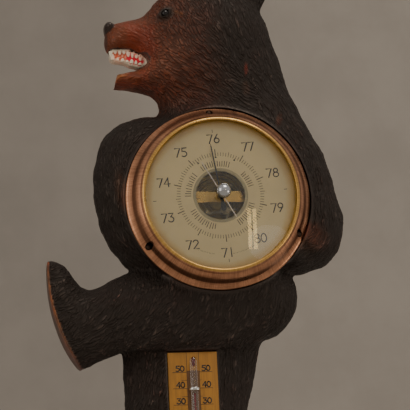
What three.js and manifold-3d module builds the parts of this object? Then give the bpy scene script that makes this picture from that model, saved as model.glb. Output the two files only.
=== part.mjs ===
// A carved bear that hangs on a wall, with a barometer on its belly and a thermometer on its standing leg.
// Millimetres. X is right, +Y goes into the wall, +Z is up. Forms are laid out from the dial's axis with
// "out" as the distance from the flat back towards the room, so out = -y.
import * as THREE from "three";
import { mergeVertices } from "three/addons/utils/BufferGeometryUtils.js";
import { SimplifyModifier } from "three/addons/modifiers/SimplifyModifier.js";
import Module from "manifold-3d";

const wasm = await Module();
wasm.setup();

// Driving sizes
const HANG = { x: -4, z: 92 };          // the point on the back that hangs on the wall, from the dial's axis
const SOLE_Z = -205;                   // underside of the standing foot
const SEAT = 34.5;                     // out of the flat face that the bezel sits on
const SEAT_R = 50.4;
const BORE = { r: 42.8, floor: 9.5 };  // blind hole behind the dial
const BEZEL_R = 50;
const DIAL = { out: 43, r: 42, thick: 0.8, hole: 13.05 };
const GAP = 0.3;                       // between pieces that touch
const PLATE = { x: -17, top: -81.2, wide: 26.1, long: 95, out: 29, thick: 2.4 };
const TUBE = { r: 1.85, top: -84, bottom: -165, bulb: 2.3 };
const SCREW = { circle: 46.7, head: 1.65, shank: 1.1, long: 9, angles: [-4, 116, 236] };
const EYE = { x: -24.3, z: 105, out: 33.9, r: 2.3 };
const NAIL_HOLE = { r: 1.8, deep: 9, below: 12 };
const SEGMENTS = 36;

// Colours
const wood = () => new THREE.MeshStandardMaterial({ color: 0x2b211b, roughness: 0.55, metalness: 0 });
const copper = () => new THREE.MeshStandardMaterial({ color: 0xa86a4a, roughness: 0.3, metalness: 1 });
const brass = () => new THREE.MeshStandardMaterial({ color: 0xb08a48, roughness: 0.35, metalness: 1 });
const steel = () => new THREE.MeshStandardMaterial({ color: 0xc4c4c2, roughness: 0.2, metalness: 1 });
const darkMetal = () => new THREE.MeshStandardMaterial({ color: 0x2a2422, roughness: 0.5, metalness: 0.8 });
const paper = () => new THREE.MeshStandardMaterial({ color: 0xcdc2a0, roughness: 0.6, metalness: 0 });
const plateWood = () => new THREE.MeshStandardMaterial({ color: 0xb4762c, roughness: 0.5, metalness: 0 });
const beadGlass = () => new THREE.MeshStandardMaterial({ color: 0x0a0808, roughness: 0.08, metalness: 0 });
const clearGlass = () => new THREE.MeshStandardMaterial({
  color: 0xe8efe8, roughness: 0.05, metalness: 0, transparent: true, opacity: 0.3,
});

// Distance functions. Each is negative inside, and close to millimetres near the surface.
const clamp = (v, a, b) => Math.min(Math.max(v, a), b);
const lerp = (a, b, t) => a + (b - a) * t;

// An ellipsoid at [x, out, z] with three radii, turned in the picture plane by tilt degrees.
function lump(x, o, z, [cx, co, cz], [rx, ro, rz], tilt = 0) {
  const t = (tilt * Math.PI) / 180;
  const dx = x - cx, dz = z - cz, w = o - co;
  const u = Math.cos(t) * dx + Math.sin(t) * dz;
  const v = Math.cos(t) * dz - Math.sin(t) * dx;
  const near = Math.hypot(u / rx, w / ro, v / rz);
  const slope = Math.hypot(u / (rx * rx), w / (ro * ro), v / (rz * rz));
  return (near * (near - 1)) / Math.max(slope, 1e-6);
}

// A curve through stations of [x, out, z, radius, depth radius].
function spline(stations, steps) {
  const first = stations[0].map((v, i) => 2 * v - stations[1][i]);
  const last = stations.at(-1).map((v, i) => 2 * v - stations.at(-2)[i]);
  const p = [first, ...stations, last];
  const curve = [];
  for (let i = 1; i < p.length - 2; i++)
    for (let k = 0; k < steps; k++) {
      const t = k / steps;
      curve.push(p[i].map((v, j) => {
        const [a, b, c, d] = [p[i - 1][j], v, p[i + 1][j], p[i + 2][j]];
        return 0.5 * (2 * b + (c - a) * t + (2 * a - 5 * b + 4 * c - d) * t * t
          + (3 * b - a - 3 * c + d) * t * t * t);
      }));
    }
  curve.push(stations.at(-1));
  return curve;
}

// Round cones end to end along a spline, flattened or deepened by the depth radius.
function limbOf(stations, steps = 2) {
  const curve = spline(stations, steps);
  const bones = curve.slice(1).map((b, i) => {
    const a = curve[i];
    return { a, b, dx: b[0] - a[0], dz: b[2] - a[2], fall: a[3] - b[3] };
  });
  return (x, o, z) => {
    let best = Infinity;
    for (const { a, b, dx, dz, fall } of bones) {
      const l2 = dx * dx + dz * dz;
      const px = x - a[0], pz = z - a[2];
      const y = px * dx + pz * dz, w = y - l2;
      const t = clamp(y / l2, 0, 1);
      const flat = lerp(a[3] / a[4], b[3] / b[4], t);
      const po = (o - lerp(a[1], b[1], t)) * flat;
      const across = (px * l2 - dx * y) ** 2 + (pz * l2 - dz * y) ** 2 + (po * l2) ** 2;
      const slant = l2 - fall * fall;
      const k = Math.sign(fall) * fall * fall * across;
      let d;
      if (Math.sign(w) * slant * w * w * l2 > k) d = Math.sqrt(across + w * w * l2) / l2 - b[3];
      else if (Math.sign(y) * slant * y * y * l2 < k) d = Math.sqrt(across + y * y * l2) / l2 - a[3];
      else d = (Math.sqrt((across * slant) / l2) + y * fall) / l2 - a[3];
      best = Math.min(best, d / Math.max(flat, 1));
    }
    return best;
  };
}

// Join or cut with a fillet of about k.
function join(a, b, k) {
  const h = clamp(0.5 + (0.5 * (b - a)) / k, 0, 1);
  return b + (a - b) * h - k * h * (1 - h);
}
const cut = (a, b, k) => -join(-a, b, k);

// The bear's limbs
const snout = limbOf([[-18, 15, 98.5, 14, 18], [-36, 14.5, 97.3, 10.6, 14], [-47.3, 14, 96.9, 9.2, 12.5]]);
const chin = limbOf([[-16, 15, 76, 13, 16], [-34, 14.5, 72, 6.6, 12.5], [-44, 14, 71.9, 4.5, 11],
  [-52.5, 14, 71.6, 3.7, 10]]);
const mouth = limbOf([[-34.3, 22, 80.2, 0.9, 40], [-38, 22, 81.3, 3.9, 40], [-44, 22, 81.9, 5.9, 40],
  [-50, 22, 81.1, 7, 40], [-62, 22, 80.8, 7.2, 40]], 1);
const bite = limbOf([[-35.4, 22, 81, 1.2, 40], [-38.4, 22, 81.6, 3.2, 40], [-41.8, 22, 83.1, 3.8, 40],
  [-46, 22, 84.7, 3.5, 40], [-51.4, 22, 85, 3.2, 40]], 1);
const GUMS = { back: 14, front: 21.5 };           // the gums hang from the upper jaw between these outs
const neck = limbOf([[7, 17, 90, 30.2, 21], [9, 17, 74, 33, 20], [9.8, 16, 50, 38.2, 20]]);
const nearArm = limbOf([[30, 16, 46, 20, 19], [44, 16, 22, 20.3, 20], [49.3, 16, 0, 20.2, 21],
  [49.3, 16, -15.8, 21.7, 21], [36, 18, -27, 13, 16]]);
const farArm = limbOf([[-30, 15, 31, 19.5, 19], [-41, 15, 27, 21.9, 20.5], [-46, 15, 6, 19.5, 20.5],
  [-43, 15, -14, 16.9, 18.5], [-34, 15, -28, 14.2, 16]]);
const thigh = limbOf([[19, 16, -50.5, 25.2, 21], [-5, 17, -55, 27, 20], [-40, 17, -57, 22.8, 19],
  [-52, 17, -61.2, 21.3, 17.5], [-65, 16, -65, 19.5, 15]]);
const thighFront = limbOf([[11, 19, -65, 13.5, 14], [-8, 22, -69, 14.5, 13], [-36, 21, -69.5, 14, 12],
  [-58, 18, -71, 12, 11]]);
const foot = limbOf([[-87, 16, -37.6, 8.4, 11], [-82, 16, -54, 13.2, 13], [-74, 16, -70, 19, 14]], 1);
const standingLeg = limbOf([[-14.5, 10, -70, 38.5, 18], [-19, 10, -110, 32.5, 18],
  [-20.5, 10, -150, 26.5, 18], [-21.5, 10, -184, 21.5, 18]]);
const standingFoot = limbOf([[-8, 12, -192, 14, 16], [-40, 12, -195, 11, 15], [-58, 12, -198, 8, 13]]);

const SOLE = { x: 1.3, z: -35.2, r: 93 };         // the raised foot's sole is an arc about this point
// The raised leg's flat underside: it rises from the heel to the crease, and dips a little towards the room.
const HEEL = { x: -74.2, z: -86.8, rise: 0.4, crease: -78.2, tilt: 0.11, out: 8 };
// The front of the chin leans back from its lowest point.
const CHIN_END = { x: -52.8, z: 68, lean: 0.37, top: 78 };

function head(x, o, z) {
  let d = lump(x, o, z, [-1, 18, 101], [31, 21, 31]);
  d = join(d, lump(x, o, z, [-12, 21, 82], [24, 17, 22]), 10);
  d = join(d, lump(x, o, z, [-17, 24, 111], [12, 11, 8]), 5);
  d = join(d, snout(x, o, z), 7);
  d = join(d, chin(x, o, z), 6);
  d = join(d, lump(x, o, z, [-27, 15, 105.6], [8.5, 12, 7.6]), 3);
  d = join(d, lump(x, o, z, [-50.6, 15, 92.6], [5.6, 10, 5.4]), 3);
  d = join(d, lump(x, o, z, [-54, 17, 101.7], [3.1, 8, 3.5]), 1.2);
  d = cut(d, mouth(x, o, z), 1);
  const ahead = Math.max(x - CHIN_END.x - CHIN_END.lean * (z - CHIN_END.z), z - CHIN_END.top);
  const gums = Math.max(bite(x, o, z), o - GUMS.front, GUMS.back - o);
  return join(cut(d, ahead, 1), gums, 1);
}

function ears(x, o, z) {
  const near = cut(lump(x, o, z, [24, 22, 122], [11.8, 8.5, 14], -8),
    lump(x, o, z, [22.5, 31, 122.5], [8.4, 8, 10.5], -8), 1.5);
  return Math.min(near, lump(x, o, z, [3, 9, 130], [10.5, 6.5, 12], 8));
}

function raisedLeg(x, o, z) {
  let d = join(join(thigh(x, o, z), thighFront(x, o, z), 5), foot(x, o, z), 6);
  d = join(d, lump(x, o, z, [-89.3, 16, -32.6], [3.8, 10, 3.8]), 2);
  d = cut(d, SOLE.r - Math.hypot(x - SOLE.x, z - SOLE.z), 1);
  const under = Math.max(z - HEEL.z - HEEL.rise * (x - HEEL.x), z - HEEL.crease);
  return cut(d, under + HEEL.tilt * (o - HEEL.out), 1);
}

function torso(x, o, z) {
  const drum = Math.max(Math.hypot(x, z) - BEZEL_R, o - SEAT);
  return join(drum, lump(x, o, z, [0, 10, 0], [50, 24, 56]), 6);
}

// Locks of fur: long shallow gouges that follow the lie of the hair.
const LOCK = { step: 7, long: 9, wide: 3.6, deep: 0.9 };
const HAIR = [[-50, 98, 0], [-30, 100, -20], [-12, 100, -60], [5, 108, -80], [25, 100, -75],
  [-30, 75, -35], [0, 72, -50], [25, 75, -70], [45, 58, -55], [60, 20, -80], [62, -15, -105],
  [45, -35, -150], [-45, 35, -140], [-60, 0, -85], [-45, -25, -60], [-88, -45, -190], [-78, -70, -150],
  [-50, -60, -125], [0, -62, -120], [30, -58, -110], [-45, -110, -90], [5, -110, -90],
  [-20, -160, -90], [-50, -198, -150]];

const chance = (i, j, k) => {
  const s = Math.sin(i * 127.1 + j * 311.7 + k * 74.7) * 43758.5453;
  return s - Math.floor(s);
};

// The hair's direction at a point, from the named directions round it.
function lie(x, z) {
  let c = 0, s = 0;
  for (const [hx, hz, angle] of HAIR) {
    const weight = 1 / ((x - hx) ** 2 + (z - hz) ** 2 + 60) ** 1.5;
    c += weight * Math.cos((angle * Math.PI) / 180);
    s += weight * Math.sin((angle * Math.PI) / 180);
  }
  return Math.atan2(s, c);
}

function locks(x, z) {
  const i0 = Math.floor(x / LOCK.step), j0 = Math.floor(z / LOCK.step);
  let near = 1;
  for (let i = i0 - 2; i <= i0 + 2; i++)
    for (let j = j0 - 2; j <= j0 + 2; j++) {
      const sx = (i + 0.15 + 0.7 * chance(i, j, 1)) * LOCK.step;
      const sz = (j + 0.15 + 0.7 * chance(i, j, 2)) * LOCK.step;
      const angle = lie(sx, sz) + (chance(i, j, 3) - 0.5) * 0.5;
      const u = Math.cos(angle) * (x - sx) + Math.sin(angle) * (z - sz);
      const v = Math.cos(angle) * (z - sz) - Math.sin(angle) * (x - sx);
      near = Math.min(near, Math.hypot(u / LOCK.long, v / LOCK.wide));
    }
  return LOCK.deep * (1 - near * near);
}

function bear(x, o, z) {
  let d = join(head(x, o, z), neck(x, o, z), 10);
  d = join(d, torso(x, o, z), 8);
  d = join(d, nearArm(x, o, z), clamp((z + 20) / 6, 2.5, 7));
  d = join(d, farArm(x, o, z), 3);
  d = join(d, join(standingLeg(x, o, z), standingFoot(x, o, z), 8), 3);
  d = join(d, raisedLeg(x, o, z), 1.5);
  d = join(d, ears(x, o, z), 2.5);
  return cut(d, lump(x, o, z, [EYE.x, 37, EYE.z], [5.2, 4, 4.2], 30), 1.5);
}

// A mesh of where field(x, out, z) is zero: one vertex in each cell that the surface crosses.
function skinOf(field, low, high, cell) {
  const n = low.map((v, i) => Math.ceil((high[i] - v) / cell) + 1);
  const at = (i, j, k) => (k * n[1] + j) * n[0] + i;
  const values = new Float32Array(n[0] * n[1] * n[2]);
  for (let k = 0; k < n[2]; k++)
    for (let j = 0; j < n[1]; j++)
      for (let i = 0; i < n[0]; i++)
        values[at(i, j, k)] = field(low[0] + i * cell, low[1] + j * cell, low[2] + k * cell);
  const corners = [0, 1, 2, 3, 4, 5, 6, 7].map((c) => [c & 1, (c >> 1) & 1, c >> 2]);
  const edges = [];
  for (let a = 0; a < 8; a++)
    for (const step of [1, 2, 4])
      if (!(a & step)) edges.push([a, a | step]);
  const points = [];
  const vertex = new Int32Array(values.length).fill(-1);
  for (let k = 0; k < n[2] - 1; k++)
    for (let j = 0; j < n[1] - 1; j++)
      for (let i = 0; i < n[0] - 1; i++) {
        const v = corners.map(([a, b, c]) => values[at(i + a, j + b, k + c)]);
        const sum = [0, 0, 0];
        let count = 0;
        for (const [a, b] of edges) {
          if (v[a] < 0 === v[b] < 0) continue;
          const t = v[a] / (v[a] - v[b]);
          for (let axis = 0; axis < 3; axis++) sum[axis] += lerp(corners[a][axis], corners[b][axis], t);
          count++;
        }
        if (!count) continue;
        vertex[at(i, j, k)] = points.length / 3;
        const place = [i, j, k].map((c, axis) => low[axis] + (c + sum[axis] / count) * cell);
        points.push(place[0], -place[1], place[2]);
      }
  const faces = [];
  const around = [[[0, 0, 0], [0, 0, 1], [0, 1, 1], [0, 1, 0]], [[0, 0, 0], [1, 0, 0], [1, 0, 1], [0, 0, 1]],
    [[0, 0, 0], [0, 1, 0], [1, 1, 0], [1, 0, 0]]];
  for (let k = 1; k < n[2] - 1; k++)
    for (let j = 1; j < n[1] - 1; j++)
      for (let i = 1; i < n[0] - 1; i++)
        for (let axis = 0; axis < 3; axis++) {
          const inside = values[at(i, j, k)] < 0;
          const next = values[at(i + (axis === 0), j + (axis === 1), k + (axis === 2))] < 0;
          if (inside === next) continue;
          const q = around[axis].map(([a, b, c]) => vertex[at(i - a, j - b, k - c)]);
          if (!inside) q.reverse();
          faces.push(q[0], q[1], q[2], q[0], q[2], q[3]);
        }
  const skin = new THREE.BufferGeometry();
  skin.setAttribute("position", new THREE.Float32BufferAttribute(points, 3));
  skin.setIndex(faces);
  return skin;
}

// Solids for cutting and joining
function solidOf(geometry) {
  const bare = geometry.clone();
  for (const name of Object.keys(bare.attributes)) if (name !== "position") bare.deleteAttribute(name);
  const merged = mergeVertices(bare, 1e-4);
  return new wasm.Manifold(new wasm.Mesh({
    numProp: 3,
    vertProperties: new Float32Array(merged.attributes.position.array),
    triVerts: new Uint32Array(merged.index.array),
  }));
}

// A solid's faces, with corners closer than WELD made one.
const WELD = 0.02;
function geometryOf(solid) {
  const mesh = solid.getMesh();
  const corners = new THREE.BufferGeometry();
  corners.setAttribute("position", new THREE.Float32BufferAttribute(Array.from(mesh.vertProperties), 3));
  corners.setIndex(Array.from(mesh.triVerts));
  const welded = mergeVertices(corners, WELD);
  const index = Array.from(welded.index.array);
  const kept = [];
  for (let i = 0; i < index.length; i += 3) {
    const [a, b, c] = index.slice(i, i + 3);
    if (a !== b && b !== c && c !== a) kept.push(a, b, c);
  }
  welded.setIndex(kept);
  const flat = welded.toNonIndexed();
  flat.computeVertexNormals();
  return flat;
}

// A shape turned about the dial's axis from a profile of [radius, out], listed in either direction.
function turned(profile, segments = SEGMENTS) {
  const points = profile.map(([r, o]) => new THREE.Vector2(r, -o));
  if (THREE.ShapeUtils.isClockWise(points)) points.reverse();
  if (points[0].x > 0) points.push(points[0]);
  return new THREE.LatheGeometry(points, segments);
}
const rod = (r, from, to, segments = 20) => turned([[0, to], [r, to], [r, from], [0, from]], segments);
const moved = (geometry, x, o, z) => geometry.translate(x, -o, z);
const block = (w, h, from, to, x, z) =>
  new THREE.BoxGeometry(w, to - from, h).translate(x, -(from + to) / 2, z);
const onCircle = (radius, degrees) => {
  const a = (degrees * Math.PI) / 180;
  return [radius * Math.sin(a), radius * Math.cos(a)];
};

// Bear
const CELL = 2.4;
const BEAR_VERTICES = 1900;
const SKIN_EASE = 0.35;                // flat faces cut inside the curves, so the skin is grown by this much

async function bearGeometry() {
  const back = -5;
  const low = [-98, back - 2 * CELL, -212], high = [80, 46, 148];
  const gouges = new Map();
  const gouge = (x, z) => {
    const key = `${x.toFixed(2)},${z.toFixed(2)}`;
    if (!gouges.has(key)) gouges.set(key, locks(x, z));
    return gouges.get(key);
  };
  const field = (x, o, z) => {
    const plain = Math.max(bear(x, o, z), back - o, SOLE_Z - z);
    if (plain > 4 || plain < -4) return plain;
    const face = clamp(Math.hypot(x + 45, z - 90) / 30 - 0.6, 0, 1);
    return plain - SKIN_EASE + gouge(x, z) * face * clamp((o - 6) / 8, 0, 1);
  };
  const fine = skinOf(field, low, high, CELL);
  const count = fine.attributes.position.count;
  const skin = await new SimplifyModifier().modify(fine, count - BEAR_VERTICES);
  let solid = solidOf(skin);
  const cutters = [
    block(400, 500, -60, 0, 0, 0),
    rod(SEAT_R, SEAT, 60, SEGMENTS),
    rod(BORE.r, BORE.floor, SEAT + 1, SEGMENTS),
    block(PLATE.wide + 2 * GAP, PLATE.long + 2 * GAP, PLATE.out - PLATE.thick - GAP, 50,
      PLATE.x, PLATE.top - PLATE.long / 2),
    moved(new THREE.SphereGeometry(EYE.r + GAP, 12, 8), EYE.x, EYE.out, EYE.z),
    moved(rod(NAIL_HOLE.r, -1, NAIL_HOLE.deep, 16), HANG.x, 0, HANG.z - NAIL_HOLE.below),
  ];
  for (const angle of SCREW.angles) {
    const [x, z] = onCircle(SCREW.circle, angle);
    cutters.push(moved(rod(SCREW.shank + GAP, SEAT - SCREW.long, SEAT + 1, 12), x, 0, z));
  }
  for (const tool of cutters) solid = solid.subtract(solidOf(tool));
  for (const tooth of teeth()) solid = solid.add(solidOf(tooth));
  return geometryOf(solid);
}

// Teeth: small cones along both edges of the gums, carved in one with the bear. A row runs from the front
// to the mouth's corner through its middle point, and its first tooth is the fang.
const TEETH = { r: 1, root: 1.6, out: 20.9 };
function teeth() {
  const rows = [
    { line: [[-53.2, 86.8], [-45, 87.4], [-37.6, 83.2]], count: 6, long: 1.7, points: -1 },
    { line: [[-52.4, 83.2], [-44.5, 81.8], [-38, 80.2]], count: 5, long: 1.5, points: 1 },
  ];
  return rows.flatMap(({ line: [from, via, to], count, long, points }) =>
    Array.from({ length: count }, (_, i) => {
      const t = i / (count - 1);
      const [x, z] = [0, 1].map((k) => lerp(lerp(from[k], via[k], t), lerp(via[k], to[k], t), t));
      const height = long * (i === 0 ? 1.7 : 1) + TEETH.root;
      const cone = new THREE.ConeGeometry(TEETH.r, height, 6).rotateX((points * Math.PI) / 2);
      return moved(cone, x, TEETH.out, z + points * (height / 2 - TEETH.root));
    }));
}

// Barometer
const caseGeometry = () =>
  turned([[0, 10.2], [42.4, 10.2], [42.4, 41.9], [41.4, 41.9], [41.4, 11.4], [0, 11.4]]);
const dialGeometry = () => turned([[DIAL.hole, DIAL.out - DIAL.thick], [DIAL.r, DIAL.out - DIAL.thick],
  [DIAL.r, DIAL.out], [DIAL.hole, DIAL.out]]);

// Sheet metal: a flange on the seat, a sloping band, a bead and a rolled lip.
const BEZEL_PROFILE = [[BEZEL_R, SEAT + GAP], [BEZEL_R, 36.5], [48.9, 37.4], [45.9, 41.2], [45.8, 42.4],
  [45.2, 44.4], [44.2, 45.5], [43.3, 45.9], [41.8, 47.5], [41, 48], [40.4, 47.8], [40.4, 47.2],
  [41.9, 46.4], [43, 44.8], [43, 41], [45, 40.4], [49, 36.2], [49, SEAT + GAP]];

function bezelGeometry() {
  let solid = solidOf(turned(BEZEL_PROFILE));
  for (const angle of SCREW.angles) {
    const [x, z] = onCircle(SCREW.circle, angle);
    solid = solid.subtract(solidOf(moved(rod(SCREW.head + GAP, SEAT, 46, 16), x, 0, z)));
  }
  return geometryOf(solid);
}

function screwGeometry() {
  const from = SEAT - SCREW.long + GAP;
  const profile = [[0, from], [SCREW.shank, from + 1], [SCREW.shank, 35.4], [SCREW.head, 36.6],
    [SCREW.head, 37.6], [SCREW.head * 0.6, 38.2], [0, 38.3]];
  const slot = block(SCREW.head * 3, 0.6, 37.4, 40, 0, 0);
  return geometryOf(solidOf(turned(profile, 14)).subtract(solidOf(slot)));
}

// Domed glass with a hole for the set hand's spindle.
const GLASS = { r: 41.6, edge: 46.1, rise: 3.4, thick: 1.5, hole: 1.4 };
function glassGeometry() {
  const dome = (r) => GLASS.edge + GLASS.rise * (1 - (r / GLASS.r) ** 2);
  const rings = [GLASS.hole, 12, 24, 34, GLASS.r];
  const inner = rings.map((r) => [r, dome(r) - GLASS.thick]);
  return turned([...inner, ...rings.toReversed().map((r) => [r, dome(r)])]);
}

// Works seen through the dial's hole
const SPINDLE = 0.6;
const capsuleGeometry = () => turned([[0, 30.5], [6, 30.5], [8, 29.3], [10, 30.3], [12, 29.1], [14, 30.1],
  [16, 28.9], [18, 29.9], [21, 28], [21, 11.7], [0, 11.7]], 24);

function bridgeGeometry() {
  const span = 36, tall = 6.2, leg = 3;
  const top = solidOf(block(span, tall, 37.6, 39, 0, 0));
  const legs = [-1, 1].map((side) => solidOf(block(leg, tall, 30.8, 37.8, side * (span - leg) / 2, 0)));
  const feet = [-1, 1].map((side) => solidOf(block(6, tall, 30.8, 31.8, side * (span / 2 - 1), 0)));
  const rivets = [-1, 1].map((side) => solidOf(moved(rod(1, 38.5, 39.5, 12), side * 11.8, 0, 0)));
  let solid = top;
  for (const piece of [...legs, ...feet, ...rivets]) solid = solid.add(piece);
  return geometryOf(solid.subtract(solidOf(rod(SPINDLE + GAP, 30, 45, 16))));
}

// A flat hand in the dial's plane: [across, along] outline points, pointing to +Z.
function handGeometry(outline, out, thick) {
  const shape = new THREE.Shape(outline.map(([a, b]) => new THREE.Vector2(a, b)));
  const geometry = new THREE.ExtrudeGeometry(shape, { depth: thick, bevelEnabled: false });
  return geometry.rotateX(Math.PI / 2).translate(0, -out, 0);
}
const mirrored = (half) => [...half, ...half.filter(([a]) => a !== 0).map(([a, b]) => [-a, b]).reverse()];

const INDICATOR = { angle: -9, out: 44.3, thick: 0.4 };
function indicatorGeometry() {
  const half = [[0, 28.6], [0.35, 26], [0.5, 4], [1.4, 2], [1.7, 0], [1.4, -2], [0.9, -3.5], [1.5, -8],
    [0, -9]];
  const blade = handGeometry(mirrored(half), INDICATOR.out, INDICATOR.thick);
  return geometryOf(solidOf(blade).add(solidOf(rod(SPINDLE, 34, INDICATOR.out, 12))));
}

const SET_HAND = { angle: -30, out: 46.6, thick: 0.4, hole: 1 };
function setHandGeometry() {
  const half = [[0, 20.3], [0.4, 18.5], [0.45, 2.2], [1.6, 1.1], [1.9, 0], [1.6, -1.1], [0.45, -2.2],
    [0.4, -14], [0, -15.4]];
  const blade = solidOf(handGeometry(mirrored(half), SET_HAND.out, SET_HAND.thick));
  return geometryOf(blade.subtract(solidOf(rod(SET_HAND.hole + GAP, 40, 50, 16))));
}

const KNOB = { r: 3.95, out: 54.1, collar: 2.2 };
function knobGeometry() {
  const ball = [];
  for (let i = 0; i <= 7; i++) {
    const a = (i / 7) * (Math.PI * 0.9);
    ball.push([KNOB.r * Math.sin(a), KNOB.out + KNOB.r * Math.cos(a)]);
  }
  return turned([...ball, [KNOB.collar, 50.3], [KNOB.collar, 49.9], [SET_HAND.hole, 49.9],
    [SET_HAND.hole, 46], [0, 46]], 16);
}

// Thermometer
const plateGeometry = () =>
  block(PLATE.wide, PLATE.long, PLATE.out - PLATE.thick, PLATE.out, PLATE.x, PLATE.top - PLATE.long / 2);
const TUBE_OUT = PLATE.out + GAP + TUBE.bulb;

function tubeGeometry() {
  const { r, bulb, top, bottom } = TUBE;
  const profile = [[0, top], [r * 0.7, top - 0.5], [r, top - 1.6], [r, bottom + 8], [bulb, bottom + 5.5],
    [bulb, bottom + 2], [bulb * 0.7, bottom + 0.5], [0, bottom]];
  const tube = new THREE.LatheGeometry(profile.map(([a, b]) => new THREE.Vector2(a, b)).reverse(), 14);
  return tube.rotateX(Math.PI / 2).translate(PLATE.x, -TUBE_OUT, 0);
}

// A wire loop over the tube, with both ends in the plate.
function clipGeometry(z) {
  const inner = TUBE.r + GAP, outer = inner + 0.7;
  const shape = new THREE.Shape();
  const foot = PLATE.out + GAP - TUBE_OUT;
  shape.moveTo(outer, foot);
  shape.absarc(0, 0, outer, 0, Math.PI, false);
  shape.lineTo(-outer, foot);
  shape.lineTo(-inner, foot);
  shape.absarc(0, 0, inner, Math.PI, 0, true);
  shape.lineTo(inner, foot);
  const clip = new THREE.ExtrudeGeometry(shape, { depth: 1.6, bevelEnabled: false, curveSegments: 6 });
  return clip.translate(0, 0, -0.8).applyMatrix4(new THREE.Matrix4().set(
    1, 0, 0, PLATE.x,
    0, -1, 0, -TUBE_OUT,
    0, 0, -1, z,
    0, 0, 0, 1));
}

// Assembly
const root = new THREE.Group();
const carving = new THREE.Group();
carving.position.set(-HANG.x, 0, -HANG.z);
root.add(carving);

function add(name, geometry, material) {
  const mesh = new THREE.Mesh(geometry, material);
  mesh.name = name;
  carving.add(mesh);
  return mesh;
}
const clockwise = (degrees) => (degrees * Math.PI) / 180;

add("bear_carving", await bearGeometry(), wood());
add("eye_bead", moved(new THREE.SphereGeometry(EYE.r, 12, 8), 0, 0, 0), beadGlass())
  .position.set(EYE.x, -EYE.out, EYE.z);
add("barometer_case", caseGeometry(), brass());
add("pressure_capsule", capsuleGeometry(), brass());
add("movement_bridge", bridgeGeometry(), brass());
add("dial", dialGeometry(), paper());
add("indicator_hand", indicatorGeometry(), darkMetal()).rotation.y = clockwise(INDICATOR.angle);
add("set_hand", setHandGeometry(), steel()).rotation.y = clockwise(SET_HAND.angle);
add("set_knob", knobGeometry(), steel());
add("barometer_glass", glassGeometry(), clearGlass());
add("bezel", bezelGeometry(), copper());
SCREW.angles.forEach((angle, i) => {
  const [x, z] = onCircle(SCREW.circle, angle);
  add(`bezel_screw_${i + 1}`, screwGeometry(), darkMetal()).position.set(x, 0, z);
});
add("thermometer_plate", plateGeometry(), plateWood());
add("thermometer_tube", tubeGeometry(), clearGlass());
add("tube_clip_upper", clipGeometry(-100.8), steel());
add("tube_clip_lower", clipGeometry(-150), steel());

export default root;
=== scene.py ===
"""A carved bear that hangs on a wall, with a barometer on its belly and a thermometer on its standing leg.

Laid out as an add-on and run as a script: each operator makes one piece, or one group of like pieces.
The forms are laid out from the dial's axis in millimetres: x to the right, out from the flat back, z up.
"""

import math
from itertools import product

import bmesh
import bpy
import numpy as np
from bpy.props import FloatProperty, FloatVectorProperty, IntProperty, PointerProperty
from mathutils import Matrix, Vector


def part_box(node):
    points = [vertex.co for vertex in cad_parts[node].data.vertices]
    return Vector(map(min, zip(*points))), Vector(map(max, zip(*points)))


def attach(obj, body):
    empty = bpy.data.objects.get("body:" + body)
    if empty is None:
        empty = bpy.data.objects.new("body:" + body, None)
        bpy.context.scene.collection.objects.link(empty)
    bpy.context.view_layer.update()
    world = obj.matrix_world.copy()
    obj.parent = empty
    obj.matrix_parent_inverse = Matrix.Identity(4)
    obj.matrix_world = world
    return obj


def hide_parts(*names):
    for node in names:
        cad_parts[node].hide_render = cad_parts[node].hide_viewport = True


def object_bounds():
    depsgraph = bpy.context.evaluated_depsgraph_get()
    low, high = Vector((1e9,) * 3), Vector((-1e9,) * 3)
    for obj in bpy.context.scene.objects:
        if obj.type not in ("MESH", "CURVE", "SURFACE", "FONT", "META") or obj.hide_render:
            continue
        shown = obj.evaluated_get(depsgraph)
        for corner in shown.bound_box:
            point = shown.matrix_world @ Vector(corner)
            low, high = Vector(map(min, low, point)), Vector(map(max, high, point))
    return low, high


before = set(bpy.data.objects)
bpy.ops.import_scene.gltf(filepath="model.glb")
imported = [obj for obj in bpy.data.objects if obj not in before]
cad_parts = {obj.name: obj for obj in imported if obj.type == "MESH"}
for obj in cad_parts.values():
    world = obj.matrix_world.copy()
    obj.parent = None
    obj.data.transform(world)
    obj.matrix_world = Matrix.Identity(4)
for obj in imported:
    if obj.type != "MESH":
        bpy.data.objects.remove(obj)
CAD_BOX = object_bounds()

bl_info = {
    "name": "Carved Bear Barometer",
    "version": (1, 0, 0),
    "blender": (4, 5, 0),
    "location": "View3D > Sidebar > Bear",
    "description": "Dresses the packed solids of a carved bear that carries a barometer and a thermometer",
    "category": "Object",
}

MM = 0.001
DIAL_LOW, DIAL_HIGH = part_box("dial")
AXIS = Vector(((DIAL_LOW.x + DIAL_HIGH.x) / 2, 0.0, (DIAL_LOW.z + DIAL_HIGH.z) / 2))
DIAL_OUT = -DIAL_LOW.y / MM
BODY = "carving"
SCREWS = ("bezel_screw_1", "bezel_screw_2", "bezel_screw_3")


def local(corner):
    """A frame corner as x, out, z in millimetres from the dial's axis."""
    return ((corner.x - AXIS.x) / MM, -corner.y / MM, (corner.z - AXIS.z) / MM)


def box_of(name):
    """A solid's corners laid out in that way: left, front, low and right, back, high."""
    return tuple(local(corner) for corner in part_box(name))


def middle_of(name):
    """The middle of a solid's box, laid out in that way."""
    low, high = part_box(name)
    return local((low + high) / 2)


# Sizes and colours that a user would change


def length(name, description, default):
    return FloatProperty(name=name, description=description, default=default, unit="LENGTH", precision=5)


def colour(name, description, default):
    return FloatVectorProperty(name=name, description=description, default=default, subtype="COLOR",
                               size=3, min=0.0, max=1.0)


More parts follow.
